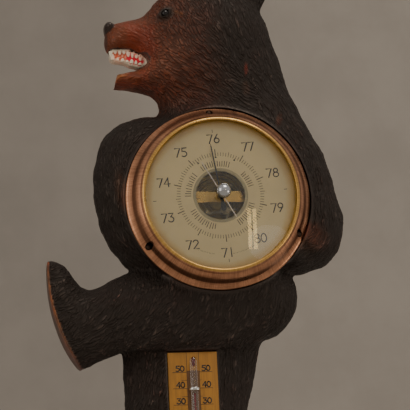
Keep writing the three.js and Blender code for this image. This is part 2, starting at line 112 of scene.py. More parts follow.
class BearSettings(bpy.types.PropertyGroup):
    cell: length("Cell", "Distance between the mesh's points", 0.00088)
    lock_step: length("Lock spacing", "Distance between the broad locks of fur", 0.0072)
    lock_long: length("Lock length", "Half the length of a lock", 0.0095)
    lock_wide: length("Lock width", "Half the width of a lock", 0.0034)
    lock_deep: length("Lock depth", "Depth of a lock's gouge", 0.00085)
    cut_step: length("Cut spacing", "Distance between the fine cuts", 0.0023)
    cut_long: length("Cut length", "Half the length of a fine cut", 0.0050)
    cut_wide: length("Cut width", "Half the width of a fine cut", 0.00115)
    cut_deep: length("Cut depth", "Depth of a fine cut", 0.00045)
    hair_long: length("Hair length", "Length of one stroke of the knife", 0.0064)
    hair_wide: length("Hair width", "Width of one stroke of the knife", 0.00138)
    fur: colour("Fur", "Dark stain of the fur", (0.0105, 0.0060, 0.0047))
    # The ridges' colour: stain thinned by wear, and a painted highlight on the ridges.
    fur_worn: colour("Worn fur", "Raised edges where the stain has thinned", (0.135, 0.094, 0.074))
    face: colour("Face", "Red-brown stain of the face", (0.175, 0.034, 0.008))
    bare: colour("Bare wood", "Wood where the stain has worn through", (0.38, 0.115, 0.025))
    red: colour("Gums", "Paint inside the mouth", (0.60, 0.007, 0.028))
    ivory: colour("Teeth", "Paint of the teeth", (0.72, 0.62, 0.47))


class BarometerSettings(bpy.types.PropertyGroup):
    segments: IntProperty(name="Segments", description="Sides of the turned pieces", default=160, min=24)
    copper: colour("Bezel", "Copper-coloured metal", (0.56, 0.27, 0.15))
    brass: colour("Brass", "Bridge and case", (0.52, 0.32, 0.075))
    cream: colour("Dial", "Middle of the dial", (0.66, 0.51, 0.235))
    rim: colour("Dial rim", "Golden edge of the dial", (0.60, 0.34, 0.04))
    ink: colour("Ink", "Print on the dial and the scale", (0.030, 0.022, 0.013))


class ThermometerSettings(bpy.types.PropertyGroup):
    gold: colour("Plate", "Golden varnish of the scale plate", (0.36, 0.155, 0.014))
    strip: colour("Strip", "Brown strip behind the tube", (0.075, 0.028, 0.007))
    spirit: colour("Spirit", "Filling of the tube", (0.20, 0.012, 0.012))
    decade: length("Ten degrees", "Length of ten degrees on the scale", 0.0085)


class StageSettings(bpy.types.PropertyGroup):
    floor_drop: length("Floor drop", "How far the floor lies below the piece", 0.75)
    wall_back: length("Backdrop distance", "How far the backdrop stands behind the piece", 2.2)
    backdrop: colour("Backdrop", "Warm grey paper", (0.34, 0.30, 0.26))
    floor: colour("Floor", "Pale floor", (0.62, 0.60, 0.57))


# The bear's form as distances in millimetres, negative inside


def lump(x, o, z, centre, radii, tilt=0.0):
    """An ellipsoid, turned in the picture plane by tilt degrees."""
    t = math.radians(tilt)
    dx, w, dz = x - centre[0], o - centre[1], z - centre[2]
    u = math.cos(t) * dx + math.sin(t) * dz
    v = math.cos(t) * dz - math.sin(t) * dx
    rx, ro, rz = radii
    near = np.sqrt((u / rx) ** 2 + (w / ro) ** 2 + (v / rz) ** 2)
    slope = np.sqrt((u / rx**2) ** 2 + (w / ro**2) ** 2 + (v / rz**2) ** 2)
    return near * (near - 1) / np.maximum(slope, 1e-6)


def spline(stations, steps):
    """A smooth curve through stations of (x, out, z, radius, depth radius)."""
    s = np.array(stations, np.float64)
    p = np.vstack([2 * s[0] - s[1], s, 2 * s[-1] - s[-2]])
    curve = []
    for a, b, c, d in zip(p, p[1:], p[2:], p[3:]):
        for k in range(steps):
            t = k / steps
            curve.append(0.5 * (2 * b + (c - a) * t + (2 * a - 5 * b + 4 * c - d) * t**2
                                + (3 * b - a - 3 * c + d) * t**3))
    curve.append(s[-1])
    return np.array(curve)


def join(a, b, k):
    """Both forms with a fillet of about k between them."""
    h = np.clip(0.5 + 0.5 * (b - a) / k, 0, 1)
    return b + (a - b) * h - k * h * (1 - h)


def cut(a, b, k):
    return -join(-a, b, k)


def bone(x, o, z, a, b):
    """A round cone between two stations, flattened or deepened by their depth radii."""
    dx, dz = b[0] - a[0], b[2] - a[2]
    l2 = dx * dx + dz * dz
    px, pz = x - a[0], z - a[2]
    y = px * dx + pz * dz
    w = y - l2
    t = np.clip(y / l2, 0, 1)
    flat = a[3] / a[4] * (1 - t) + b[3] / b[4] * t
    po = (o - a[1] - (b[1] - a[1]) * t) * flat
    fall = a[3] - b[3]
    slant = l2 - fall * fall
    across = (px * l2 - dx * y) ** 2 + (pz * l2 - dz * y) ** 2 + (po * l2) ** 2
    k = np.sign(fall) * fall * fall * across
    side = (np.sqrt(across * slant / l2) + y * fall) / l2 - a[3]
    far_end = np.sqrt(across + w * w * l2) / l2 - b[3]
    near_end = np.sqrt(across + y * y * l2) / l2 - a[3]
    d = np.where(np.sign(y) * slant * y * y * l2 < k, near_end, side)
    d = np.where(np.sign(w) * slant * w * w * l2 > k, far_end, d)
    return d / np.maximum(flat, 1.0)


def limb(stations, steps=2, blend=1.2):
    """Round cones end to end along a smooth curve, softly run together."""
    curve = spline(stations, steps)

    def distance(x, o, z):
        d = bone(x, o, z, curve[0], curve[1])
        for a, b in zip(curve[1:], curve[2:]):
            d = join(d, bone(x, o, z, a, b), blend)
        return d

    return distance


SNOUT = limb([(-18, 15, 98.5, 14, 18), (-36, 14.5, 97.3, 10.6, 14), (-47.3, 14, 96.9, 9.2, 12.5)])
CHIN = limb([(-16, 15, 76, 13, 16), (-34, 14.5, 72, 6.6, 12.5), (-44, 14, 71.9, 4.5, 11),
             (-52.5, 14, 71.6, 3.7, 10)])
MOUTH = limb([(-34.3, 22, 80.2, 0.9, 40), (-38, 22, 81.3, 3.9, 40), (-44, 22, 81.9, 5.9, 40),
              (-50, 22, 81.1, 7.0, 40), (-62, 22, 80.8, 7.2, 40)], 1, 0.6)
BITE = limb([(-35.4, 22, 81.0, 1.2, 40), (-38.4, 22, 81.6, 3.2, 40), (-41.8, 22, 83.1, 3.8, 40),
             (-46, 22, 84.7, 3.5, 40), (-51.4, 22, 85.0, 3.2, 40)], 1, 0.6)
GUM_OUT = (14, 21.5)
NECK = limb([(7, 17, 90, 30.2, 21), (9, 17, 74, 33, 20), (9.8, 16, 50, 38.2, 20)])
NEAR_ARM = limb([(30, 16, 46, 20, 19), (44, 16, 22, 20.3, 20), (49.3, 16, 0, 20.2, 21),
                 (49.3, 16, -15.8, 21.7, 21), (36, 18, -27, 13, 16)])
FAR_ARM = limb([(-30, 15, 31, 19.5, 19), (-41, 15, 27, 21.9, 20.5), (-46, 15, 6, 19.5, 20.5),
                (-43, 15, -14, 16.9, 18.5), (-34, 15, -28, 14.2, 16)])
THIGH = limb([(19, 16, -50.5, 25.2, 21), (-5, 17, -55, 27, 20), (-40, 17, -57, 22.8, 19),
              (-52, 17, -61.2, 21.3, 17.5), (-65, 16, -65, 19.5, 15)])
THIGH_FRONT = limb([(11, 19, -65, 13.5, 14), (-8, 22, -69, 14.5, 13), (-36, 21, -69.5, 14, 12),
                    (-58, 18, -71, 12, 11)])
FOOT = limb([(-87, 16, -37.6, 8.4, 11), (-82, 16, -54, 13.2, 13), (-74, 16, -70, 19, 14)], 1)
TOE = {"centre": (-89.3, 16, -32.6), "radii": (3.8, 10, 3.8)}
STANDING_LEG = limb([(-14.5, 10, -70, 38.5, 18), (-19, 10, -110, 32.5, 18), (-20.5, 10, -150, 26.5, 18),
                     (-21.5, 10, -184, 21.5, 18)])
STANDING_FOOT = limb([(-8, 12, -192, 14, 16), (-40, 12, -195, 11, 15), (-58, 12, -198, 8, 13)])
BROW = {"centre": (-27, 15, 105.6), "radii": (8.5, 12, 7.6)}
LIP = {"centre": (-50.6, 15, 92.6), "radii": (5.6, 10, 5.4)}
NOSE = {"centre": (-54.0, 17, 101.7), "radii": (3.1, 8, 3.5)}
CHIN_END = {"x": -52.8, "z": 68.0, "lean": 0.37, "top": 78}
SOLE = {"x": 1.3, "z": -35.2, "r": 93.0}
HEEL = {"x": -74.2, "z": -86.8, "rise": 0.40, "crease": -78.2, "tilt": 0.11, "out": 8}
SEAT = {"out": 34.5, "r": 50.4}
BORE = {"out": 9.5, "r": 42.8}
BEZEL_R = 50.0
NAIL_HOLE = {"r": 1.8, "deep": 9, "below": 12}
SOLE_Z = -205
EYE = {"x": -24.3, "z": 105, "out": 33.9, "r": 2.3}
GAP = 0.3
KNIFE = 0.8  # how round an edge is that the knife has left
TEETH = {"wide": 2.3, "out": 22.1}


def head(x, o, z):
    d = lump(x, o, z, (-1, 18, 101), (31, 21, 31))
    d = join(d, lump(x, o, z, (-12, 21, 82), (24, 17, 22)), 10)
    d = join(d, lump(x, o, z, (-17, 24, 111), (12, 11, 8)), 5)
    d = join(d, SNOUT(x, o, z), 7)
    d = join(d, CHIN(x, o, z), 6)
    d = join(d, lump(x, o, z, **BROW), 3)
    d = join(d, lump(x, o, z, **LIP), 3)
    d = join(d, lump(x, o, z, **NOSE), 1.2)
    d = cut(d, MOUTH(x, o, z), KNIFE)
    lean = x - CHIN_END["x"] - CHIN_END["lean"] * (z - CHIN_END["z"])
    d = cut(d, np.maximum(lean, z - CHIN_END["top"]), KNIFE)
    gums = cut(BITE(x, o, z), np.minimum(GUM_OUT[1] - o, o - GUM_OUT[0]), KNIFE)
    return join(d, gums, KNIFE)


def ears(x, o, z):
    hollow = lump(x, o, z, (22.5, 31, 122.5), (8.4, 8, 10.5), -8)
    near = cut(lump(x, o, z, (24, 22, 122), (11.8, 8.5, 14), -8), hollow, 1.5)
    return np.minimum(near, lump(x, o, z, (3, 9, 130), (10.5, 6.5, 12), 8))


def sole_distance(x, z):
    return SOLE["r"] - np.hypot(x - SOLE["x"], z - SOLE["z"])


def raised_leg(x, o, z):
    d = join(join(THIGH(x, o, z), THIGH_FRONT(x, o, z), 5), FOOT(x, o, z), 6)
    d = join(d, lump(x, o, z, **TOE), 2)
    d = cut(d, sole_distance(x, z), KNIFE)
    under = np.maximum(z - HEEL["z"] - HEEL["rise"] * (x - HEEL["x"]), z - HEEL["crease"])
    return cut(d, under + HEEL["tilt"] * (o - HEEL["out"]), KNIFE)


def torso(x, o, z):
    drum = np.maximum(np.hypot(x, z) - BEZEL_R, o - SEAT["out"])
    return join(drum, lump(x, o, z, (0, 10, 0), (50, 24, 56)), 6)


def slab(x, o, z, low, high):
    """A box between two corners."""
    sides = [low[0] - x, x - high[0], low[1] - o, o - high[1], low[2] - z, z - high[2]]
    return np.maximum.reduce(sides)


def form(x, o, z):
    """The whole carving before its back is flattened and its seats are cut."""
    d = join(head(x, o, z), NECK(x, o, z), 10)
    d = join(d, torso(x, o, z), 8)
    d = join(d, NEAR_ARM(x, o, z), np.clip((z + 20) / 6, 2.5, 7))
    d = join(d, FAR_ARM(x, o, z), 3)
    d = join(d, join(STANDING_LEG(x, o, z), STANDING_FOOT(x, o, z), 8), 3)
    d = join(d, raised_leg(x, o, z), 1.2)
    d = join(d, ears(x, o, z), 2.5)
    d = cut(d, lump(x, o, z, (EYE["x"], 37, EYE["z"]), (5.2, 4, 4.2), 30), 1.5)
    lids = lump(x, o, z, (EYE["x"], EYE["out"] - 0.5, EYE["z"]), (4.4, 3.5, 3.3), 35)
    slit = lump(x, o, z, (EYE["x"], 38, EYE["z"]), (2.7, 5, 1.5), 35)
    d = join(d, cut(lids, slit, 0.4), KNIFE)
    return np.maximum(d, SOLE_Z - z)


# A mesh of where a distance is zero


def skin(distance, low, high, cell):
    """Points and quads of a surface net, sampled finely only near the surface."""
    step = 4
    low = np.array(low, np.float64)
    blocks = np.ceil((np.array(high) - low) / (cell * step)).astype(int)
    centres = [low[i] + (np.arange(blocks[i]) + 0.5) * step * cell - cell / 2 for i in range(3)]
    bx, bo, bz = np.meshgrid(*centres, indexing="ij")
    coarse = distance(bx.ravel(), bo.ravel(), bz.ravel()).reshape(blocks)
    near = np.abs(coarse) < step * cell * 1.7
    values = np.repeat(np.repeat(np.repeat(coarse, step, 0), step, 1), step, 2).astype(np.float32)
    sub = np.stack(np.meshgrid(*[np.arange(step)] * 3, indexing="ij"), -1).reshape(-1, 3)
    nodes = (np.argwhere(near)[:, None, :] * step + sub[None]).reshape(-1, 3)
    place = low + nodes * cell
    values[nodes[:, 0], nodes[:, 1], nodes[:, 2]] = distance(place[:, 0], place[:, 1], place[:, 2])

    inside = values < 0
    corners = [(a, b, c) for a in (0, 1) for b in (0, 1) for c in (0, 1)]
    n = np.array(values.shape)

    def at_corner(a, b, c):
        return inside[a:n[0] - 1 + a, b:n[1] - 1 + b, c:n[2] - 1 + c].astype(np.int8)

    count = sum(at_corner(*corner) for corner in corners)
    cells = np.argwhere((count > 0) & (count < 8))
    v = np.stack([values[tuple((cells + corner).T)] for corner in corners], 1)
    total = np.zeros((len(cells), 3))
    crossings = np.zeros(len(cells))
    for i, a in enumerate(corners):
        for j, b in enumerate(corners):
            if sum(b) - sum(a) != 1 or sum(abs(p - q) for p, q in zip(a, b)) != 1:
                continue
            crossed = (v[:, i] < 0) != (v[:, j] < 0)
            t = v[crossed, i] / (v[crossed, i] - v[crossed, j])
            total[crossed] += np.array(a) + t[:, None] * (np.array(b) - np.array(a))
            crossings[crossed] += 1
    points = low + (cells + total / crossings[:, None]) * cell
    index = np.full(values.shape, -1, np.int32)
    index[tuple(cells.T)] = np.arange(len(cells))

    quads = []
    for axis in range(3):
        along = [slice(0, m - 1) if k == axis else slice(0, m) for k, m in enumerate(n)]
        ahead = [slice(1, m) if k == axis else slice(0, m) for k, m in enumerate(n)]
        change = inside[tuple(along)] != inside[tuple(ahead)]
        edges = np.argwhere(change)
        b, c = (axis + 1) % 3, (axis + 2) % 3
        ring = []
        for db, dc in ((0, 0), (1, 0), (1, 1), (0, 1)):
            at = edges.copy()
            at[:, b] -= db
            at[:, c] -= dc
            ring.append(index[tuple(at.T)])
        quad = np.stack(ring, 1)
        turn = inside[tuple(edges.T)]
        quad[~turn] = quad[~turn][:, ::-1]
        quads.append(quad[(quad >= 0).all(1)])
    return points, np.vstack(quads)


def normals_of(distance, p):
    """The unit normals of a distance at points, measured across half a millimetre."""
    g = np.zeros_like(p)
    for axis, q in enumerate(np.eye(3) * 0.25):
        ahead, behind = p + q, p - q
        g[:, axis] = distance(*ahead.T) - distance(*behind.T)
    return g / np.maximum(np.linalg.norm(g, axis=1, keepdims=True), 1e-9)


# The lie of the fur: x, z and the hair's direction in degrees
HAIR = np.array([
    # Face, neck and back
    (-50, 98, -25), (-30, 100, -40), (-12, 100, -65), (5, 112, -75), (25, 105, -75), (-44, 71, 15),
    (-28, 72, -20), (-18, 82, -45), (-10, 66, -30), (2, 78, -50), (20, 80, -65), (36, 80, -75),
    (12, 58, -35), (38, 58, -55), (52, 40, -65), (60, 20, -78),
    # Near arm, then far arm
    (64, 0, -90), (64, -18, -105), (54, -30, -140), (42, -33, -165),
    (-32, 44, -155), (-48, 42, -120), (-58, 20, -95), (-60, -2, -85), (-54, -22, -65), (-46, -34, -55),
    # Raised leg from its foot to the hip
    (-90, -34, -150), (-88, -55, -165), (-80, -50, -140), (-72, -60, -130), (-76, -78, -150),
    (-60, -58, -125), (-60, -74, -145), (-40, -48, -115), (-38, -70, -130), (-10, -58, -115),
    (-10, -74, -140), (20, -56, -105), (18, -72, -130), (36, -58, -100),
    # Standing leg and foot
    (-45, -90, -88), (-50, -130, -92), (8, -90, -95), (2, -130, -92), (-20, -180, -90), (-50, -198, -150),
], float)


def lie(x, z):
    """The hair's direction across and up, from the named directions round a point."""
    angle = np.radians(HAIR[:, 2])
    weight = 1 / ((x[:, None] - HAIR[:, 0]) ** 2 + (z[:, None] - HAIR[:, 1]) ** 2 + 30) ** 1.5
    across, up = weight @ np.cos(angle), weight @ np.sin(angle)
    size = np.hypot(across, up)
    return across / size, up / size


def seeds_on(points, step, random):
    """One point in each occupied cube of a grid, as a table from the cube to the point's index."""
    low = points.min(0) - 3 * step
    cube = np.floor((points - low) / step).astype(int)
    shape = cube.max(0) + 4
    order = random.permutation(len(points))
    flat = np.ravel_multi_index(cube[order].T, shape)
    _, first = np.unique(flat, return_index=True)
    table = np.full(shape, -1, np.int32)
    table[np.unravel_index(flat[first], shape)] = order[first]
    return table, cube


def dot(a, b):
    return np.einsum("ij,ij->i", a, b)


def gouges(points, normals, hair, step, half_long, half_wide, seed):
    """How deep in a gouge each point lies, from 0 on a ridge to 1 at the bottom, and that gouge's turn."""
    random = np.random.default_rng(seed)
    table, cube = seeds_on(points, step, random)
    turn = random.uniform(-0.28, 0.28, len(points))
    side = np.cross(normals, hair)
    grain = hair * np.cos(turn)[:, None] + side * np.sin(turn)[:, None]
    deep = random.uniform(0.65, 1.0, len(points))
    reach = int(math.ceil(half_long / step))
    best = np.zeros(len(points))
    leader = np.arange(len(points))
    for step_away in product(range(-reach, reach + 1), repeat=3):
        s = table[tuple((cube + step_away).T)]
        found = np.nonzero(s >= 0)[0]
        s = s[found]
        r = points[found] - points[s]
        u = dot(r, grain[s])
        w = dot(r, normals[s])
        v2 = np.maximum(dot(r, r) - u * u - w * w, 0)
        e = (u / half_long) ** 2 + v2 / half_wide**2
        depth = deep[s] * np.clip(1 - e, 0, 1)
        more = depth > best[found]
        best[found[more]] = depth[more]
        leader[found[more]] = s[more]
    return best, turn[leader]


# Mesh making


POLE = 1e-6  # a radius below this is a point


def spot(x, out, z):
    """A point laid out from the dial's axis in millimetres, as a place in the frame."""
    return Vector((AXIS.x + x * MM, -out * MM, AXIS.z + z * MM))


def to_mesh(name, points, faces):
    """A mesh from points laid out from the dial's axis and from lists of their indices."""
    mesh = bpy.data.meshes.new(name)
    mesh.from_pydata([spot(*p) for p in points], [], [list(f) for f in faces])
    mesh.update()
    return mesh


def linked(name, data):
    """A new object in the scene, at its origin."""
    made = bpy.data.objects.new(name, data)
    bpy.context.scene.collection.objects.link(made)
    return made


def add_piece(name, mesh, finish, body, replaced=(), sharp=32):
    """Put a finished mesh into the scene on the body that carries it."""
    mesh.materials.clear()
    mesh.materials.append(finish)
    mesh.shade_smooth()
    if sharp:
        mesh.set_sharp_from_angle(angle=math.radians(sharp))
    piece = linked(name, mesh)
    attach(piece, body)
    if replaced:
        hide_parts(*replaced)


def bmesh_to(name, bm):
    bmesh.ops.recalc_face_normals(bm, faces=bm.faces)
    mesh = bpy.data.meshes.new(name)
    bm.to_mesh(mesh)
    bm.free()
    return mesh


def joined(name, meshes):
    """Several closed meshes as one."""
    bm = bmesh.new()
    for mesh in meshes:
        bm.from_mesh(mesh)
        bpy.data.meshes.remove(mesh)
    mesh = bpy.data.meshes.new(name)
    bm.to_mesh(mesh)
    bm.free()
    return mesh


def rounded(profile, radius, steps):
    """A closed profile of (r, out) with each corner off the axis eased to a small curve."""
    eased = []
    for i, point in enumerate(profile):
        here = Vector(point)
        before, after = Vector(profile[i - 1]), Vector(profile[(i + 1) % len(profile)])
        if here.x < POLE:
            eased.append(tuple(here))
            continue
        reach = min(radius, (before - here).length * 0.42, (after - here).length * 0.42)
        a = here + (before - here).normalized() * reach
        b = here + (after - here).normalized() * reach
        for k in range(steps + 1):
            t = k / steps
            eased.append(tuple(a * (1 - t) ** 2 + here * 2 * t * (1 - t) + b * t * t))
    return eased


def wrapped(name, rings, closed=False, capped=False):
    """A skin over rings of places; a ring of one place is a pole, and a capped skin has flat ends."""
    bm = bmesh.new()
    count = max(len(ring) for ring in rings)
    rings = [[bm.verts.new(place) for place in ring] * (count // len(ring)) for ring in rings]
    for one, two in zip(rings, rings[1:] + rings[:1] * closed):
        for k in range(count):
            after = (k + 1) % count
            corners = list(dict.fromkeys([one[k], one[after], two[after], two[k]]))
            if len(corners) > 2:
                bm.faces.new(corners)
    if capped:
        bm.faces.new(rings[0])
        bm.faces.new(rings[-1][::-1])
    return bmesh_to(name, bm)


def turned(name, profile, segments, centre=(0.0, 0.0)):
    """A closed profile of (r, out) turned about the dial's axis, or about another axis beside it."""
    angles = [2 * math.pi * k / segments for k in range(segments)]
    return wrapped(name, [
        [spot(centre[0] + r * math.sin(a), out, centre[1] + r * math.cos(a)) for a in angles]
        if r > POLE else [spot(centre[0], out, centre[1])] for r, out in profile], closed=True)


def plug(r, from_out, to_out):
    """The profile of a plain round rod."""
    return [(0, from_out), (r, from_out), (r, to_out), (0, to_out)]


def cut_away(mesh, tool_mesh, solver):
    """A mesh with another closed mesh taken out of it."""
    body, tool = linked("body", mesh), linked("tool", tool_mesh)
    modifier = body.modifiers.new("Cut", "BOOLEAN")
    modifier.object = tool
    modifier.operation = "DIFFERENCE"
    modifier.solver = solver
    evaluated = body.evaluated_get(bpy.context.evaluated_depsgraph_get())
    result = bpy.data.meshes.new_from_object(evaluated)
    if len(result.polygons) < len(mesh.polygons) // 2:
        raise RuntimeError("a hole could not be cut in " + mesh.name)
    for made, data in ((body, mesh), (tool, tool_mesh)):
        bpy.data.objects.remove(made)
        bpy.data.meshes.remove(data)
    return result


def plate_of(name, outline, out, thick, turn=0.0, bevel=0.0):
    """A flat plate in the dial's plane from a closed outline of (x, z), turned clockwise by degrees."""
    c, s = math.cos(math.radians(turn)), math.sin(math.radians(turn))
    bm = bmesh.new()
    front = [bm.verts.new(spot(x * c + z * s, out, z * c - x * s)) for x, z in outline]
    face = bm.faces.new(front)
    bm.normal_update()
    if face.normal.y > 0:
        face.normal_flip()
    grown = bmesh.ops.extrude_face_region(bm, geom=[face])
    back = [v for v in grown["geom"] if isinstance(v, bmesh.types.BMVert)]
    bmesh.ops.translate(bm, verts=back, vec=(0, thick * MM, 0))
    if bevel:
        rim = [e for e in bm.edges if len(e.link_faces) == 2 and e.calc_face_angle() > 0.6]
        bmesh.ops.bevel(bm, geom=rim, offset=bevel * MM, segments=2, affect="EDGES", profile=0.6)
    return bmesh_to(name, bm)


def stroke(points, wide):
    """The outline of a pen stroke of one width along a line of (x, z)."""
    left, right = [], []
    for i, point in enumerate(points):
        here = Vector(point)
        way = Vector(points[min(i + 1, len(points) - 1)]) - Vector(points[max(i - 1, 0)])
        way.normalize()
        side = Vector((-way.y, way.x)) * wide / 2
        if 0 < i < len(points) - 1:
            leg = (here - Vector(points[i - 1])).normalized()
            side /= max(abs(leg.dot(way)), 0.7)
        end = way * wide / 2 if i in (0, len(points) - 1) else Vector((0, 0))
        end = -end if i == 0 else end
        left.append(here + side + end)
        right.append(here - side + end)
    return [tuple(p) for p in left + right[::-1]]


def arc(cx, cz, rx, rz, start, sweep, steps):
    """Points along an oval, in degrees from the right and counter-clockwise."""
    return [(cx + rx * math.cos(math.radians(start + sweep * k / steps)),
             cz + rz * math.sin(math.radians(start + sweep * k / steps))) for k in range(steps + 1)]


# Digits as pen strokes in a cell half as wide as it is high
DIGITS = {
    "0": [arc(0.25, 0.5, 0.25, 0.5, 90, 360, 16)],
    "1": [[(0.25, 0.0), (0.25, 1.0)]],
    "2": [arc(0.25, 0.74, 0.23, 0.26, 160, -190, 9) + [(0.02, 0.0), (0.5, 0.0)]],
    "3": [[(0.04, 1.0), (0.46, 1.0), (0.22, 0.6)], arc(0.22, 0.3, 0.26, 0.3, 90, -240, 10)],
    "4": [[(0.38, 0.0), (0.38, 1.0)], [(0.38, 1.0), (0.0, 0.3), (0.52, 0.3)]],
    "5": [[(0.46, 1.0), (0.08, 1.0), (0.05, 0.56)] + arc(0.2, 0.3, 0.27, 0.31, 100, -230, 10)],
    "6": [[(0.36, 1.0), (0.05, 0.46)], arc(0.25, 0.28, 0.23, 0.28, 90, 360, 14)],
    "7": [[(0.0, 1.0), (0.48, 1.0), (0.14, 0.0)]],
    "8": [arc(0.25, 0.76, 0.19, 0.24, 90, 360, 14), arc(0.25, 0.27, 0.25, 0.27, 90, 360, 14)],
    "9": [[(0.14, 0.0), (0.45, 0.54)], arc(0.25, 0.72, 0.23, 0.28, 90, 360, 14)],
}


def number(text, x, z, high, pen, turn, out, thick, broad):
    """A printed number centred on a point, in thin raised strokes; broad is a digit's width by height."""
    step = high * (broad + 0.14)
    c, s = math.cos(math.radians(turn)), math.sin(math.radians(turn))
    meshes = []
    for i, digit in enumerate(text):
        left = (i - len(text) / 2) * step + (step - high * broad) / 2
        for line in DIGITS[digit]:
            placed = []
            for a, b in line:
                u, v = left + a * high * 2 * broad, (b - 0.5) * high
                placed.append((x + u * c + v * s, z + v * c - u * s))
            meshes.append(plate_of("stroke", stroke(placed, pen), out, thick))
    return meshes


# Node trees


class Nodes:
    """A node tree whose nodes are added one by one."""

    def give(self, socket, value):
        """Set a socket, or link it where the value comes from another node."""
        if isinstance(value, bpy.types.NodeSocket):
            self.tree.links.new(value, socket)
        elif isinstance(value, (tuple, list)) and len(value) == 3 and socket.type == "RGBA":
            socket.default_value = (*value, 1.0)
        else:
            socket.default_value = value

    def node(self, kind, values=None, **settings):
        made = self.tree.nodes.new(kind)
        for key, value in settings.items():
            setattr(made, key, value)
        for socket, value in (values or {}).items():
            self.give(made.inputs[socket], value)
        return made

    def math(self, operation, *values):
        return self.node("ShaderNodeMath", dict(enumerate(values)), operation=operation).outputs[0]


# Geometry Nodes: one item repeated round a ring or along a row


class Tree(Nodes):
    """A node tree for a modifier, with sizes that can be set from outside."""

    def __init__(self, name, sizes):
        self.tree = bpy.data.node_groups.new(name, "GeometryNodeTree")
        sockets = self.tree.interface
        sockets.new_socket("Geometry", in_out="OUTPUT", socket_type="NodeSocketGeometry")
        sockets.new_socket("Geometry", in_out="INPUT", socket_type="NodeSocketGeometry")
        for label, kind, value in sizes:
            item = sockets.new_socket(label, in_out="INPUT", socket_type="NodeSocket" + kind)
            if value is not None:
                item.default_value = value
        self.given = self.tree.nodes.new("NodeGroupInput").outputs
        self.result = self.tree.nodes.new("NodeGroupOutput")

    def finish(self, points, rotation, scale):
        """Set the item on the points, make it real and give it its finish."""
        items = self.node("GeometryNodeInstanceOnPoints", {
            "Points": points, "Instance": self.given["Geometry"], "Rotation": rotation, "Scale": scale})
        real = self.node("GeometryNodeRealizeInstances", {"Geometry": items.outputs["Instances"]})
        dressed = self.node("GeometryNodeSetMaterial", {
            "Geometry": real.outputs["Geometry"], "Material": self.given["Finish"]})
        self.tree.links.new(dressed.outputs["Geometry"], self.result.inputs["Geometry"])
        return self.tree


def ring_tree():
    """Items set round the dial's axis, every so many of them longer, and uneven where asked for."""
    t = Tree("Items round a ring", [
        ("Count", "Int", 10), ("Radius", "Float", 0.03), ("Start", "Float", 0.0), ("Step", "Float", 0.1),
        ("Long every", "Int", 1), ("Long by", "Float", 1.0), ("Uneven", "Float", 0.0), ("Seed", "Int", 1),
        ("Finish", "Material", None)])
    index = t.node("GeometryNodeInputIndex").outputs[0]
    chance = [t.node("FunctionNodeRandomValue", {"ID": index, "Seed": t.math("ADD", t.given["Seed"], k)},
                     data_type="FLOAT").outputs["Value"] for k in range(2)]
    nudge = t.math("MULTIPLY", t.math("SUBTRACT", chance[0], 0.5),
                   t.math("MULTIPLY", t.given["Uneven"], 0.9))
    angle = t.math("ADD", t.given["Start"],
                   t.math("MULTIPLY", t.given["Step"], t.math("ADD", index, nudge)))
    place = t.node("ShaderNodeCombineXYZ", {
        "X": t.math("ADD", t.math("MULTIPLY", t.math("SINE", angle), t.given["Radius"]), AXIS.x),
        "Z": t.math("ADD", t.math("MULTIPLY", t.math("COSINE", angle), t.given["Radius"]), AXIS.z)})
    points = t.node("GeometryNodePoints", {"Count": t.given["Count"], "Position": place.outputs[0]})
    turn = t.node("ShaderNodeCombineXYZ", {"Y": angle})
    first = t.math("COMPARE", t.math("MODULO", index, t.given["Long every"]), 0.0, 0.1)
    longer = t.math("ADD", 1.0, t.math("MULTIPLY", first, t.math("SUBTRACT", t.given["Long by"], 1.0)))
    shorter = t.math("SUBTRACT", 1.0, t.math("MULTIPLY", chance[1], t.given["Uneven"]))
    scale = t.node("ShaderNodeCombineXYZ", {"X": 1.0, "Y": 1.0, "Z": t.math("MULTIPLY", longer, shorter)})
    return t.finish(points.outputs[0], turn.outputs[0], scale.outputs[0])


def row_tree():
    """Items set in a row down the thermometer's plate."""
    t = Tree("Items in a row", [
        ("Count", "Int", 10), ("Across", "Float", 0.0), ("Top", "Float", 0.0), ("Step", "Float", 0.001),
        ("Finish", "Material", None)])
    index = t.node("GeometryNodeInputIndex").outputs[0]
    place = t.node("ShaderNodeCombineXYZ", {
        "X": t.given["Across"],
        "Z": t.math("SUBTRACT", t.given["Top"], t.math("MULTIPLY", index, t.given["Step"]))})
    points = t.node("GeometryNodePoints", {"Count": t.given["Count"], "Position": place.outputs[0]})
    return t.finish(points.outputs[0], (0, 0, 0), (1, 1, 1))


def grown(tree, item, sizes):
    """The plain mesh that a tree makes of an item's mesh, with its sizes set by name."""
    carrier = linked("carrier", item)
    modifier = carrier.modifiers.new("Repeat", "NODES")
    modifier.node_group = tree
    sockets = {s.name: s.identifier for s in tree.interface.items_tree if s.in_out == "INPUT"}
    for label, value in sizes.items():
        modifier[sockets[label]] = value
    evaluated = carrier.evaluated_get(bpy.context.evaluated_depsgraph_get())
    mesh = bpy.data.meshes.new_from_object(evaluated)
    bpy.data.objects.remove(carrier)
    bpy.data.meshes.remove(item)
    return mesh


def mark(wide, high, out, thick, lift=0.0):
    """A thin printed mark at the frame's own origin, standing on its lower edge where lift is 0.5."""
    bm = bmesh.new()
    bmesh.ops.create_cube(bm, size=1.0)
    bmesh.ops.scale(bm, verts=bm.verts, vec=(wide * MM, thick * MM, high * MM))
    bmesh.ops.translate(bm, verts=bm.verts, vec=(0, -(out + thick / 2) * MM, lift * high * MM))
    mesh = bpy.data.meshes.new("mark")
    bm.to_mesh(mesh)
    bm.free()
    return mesh


# Finishes


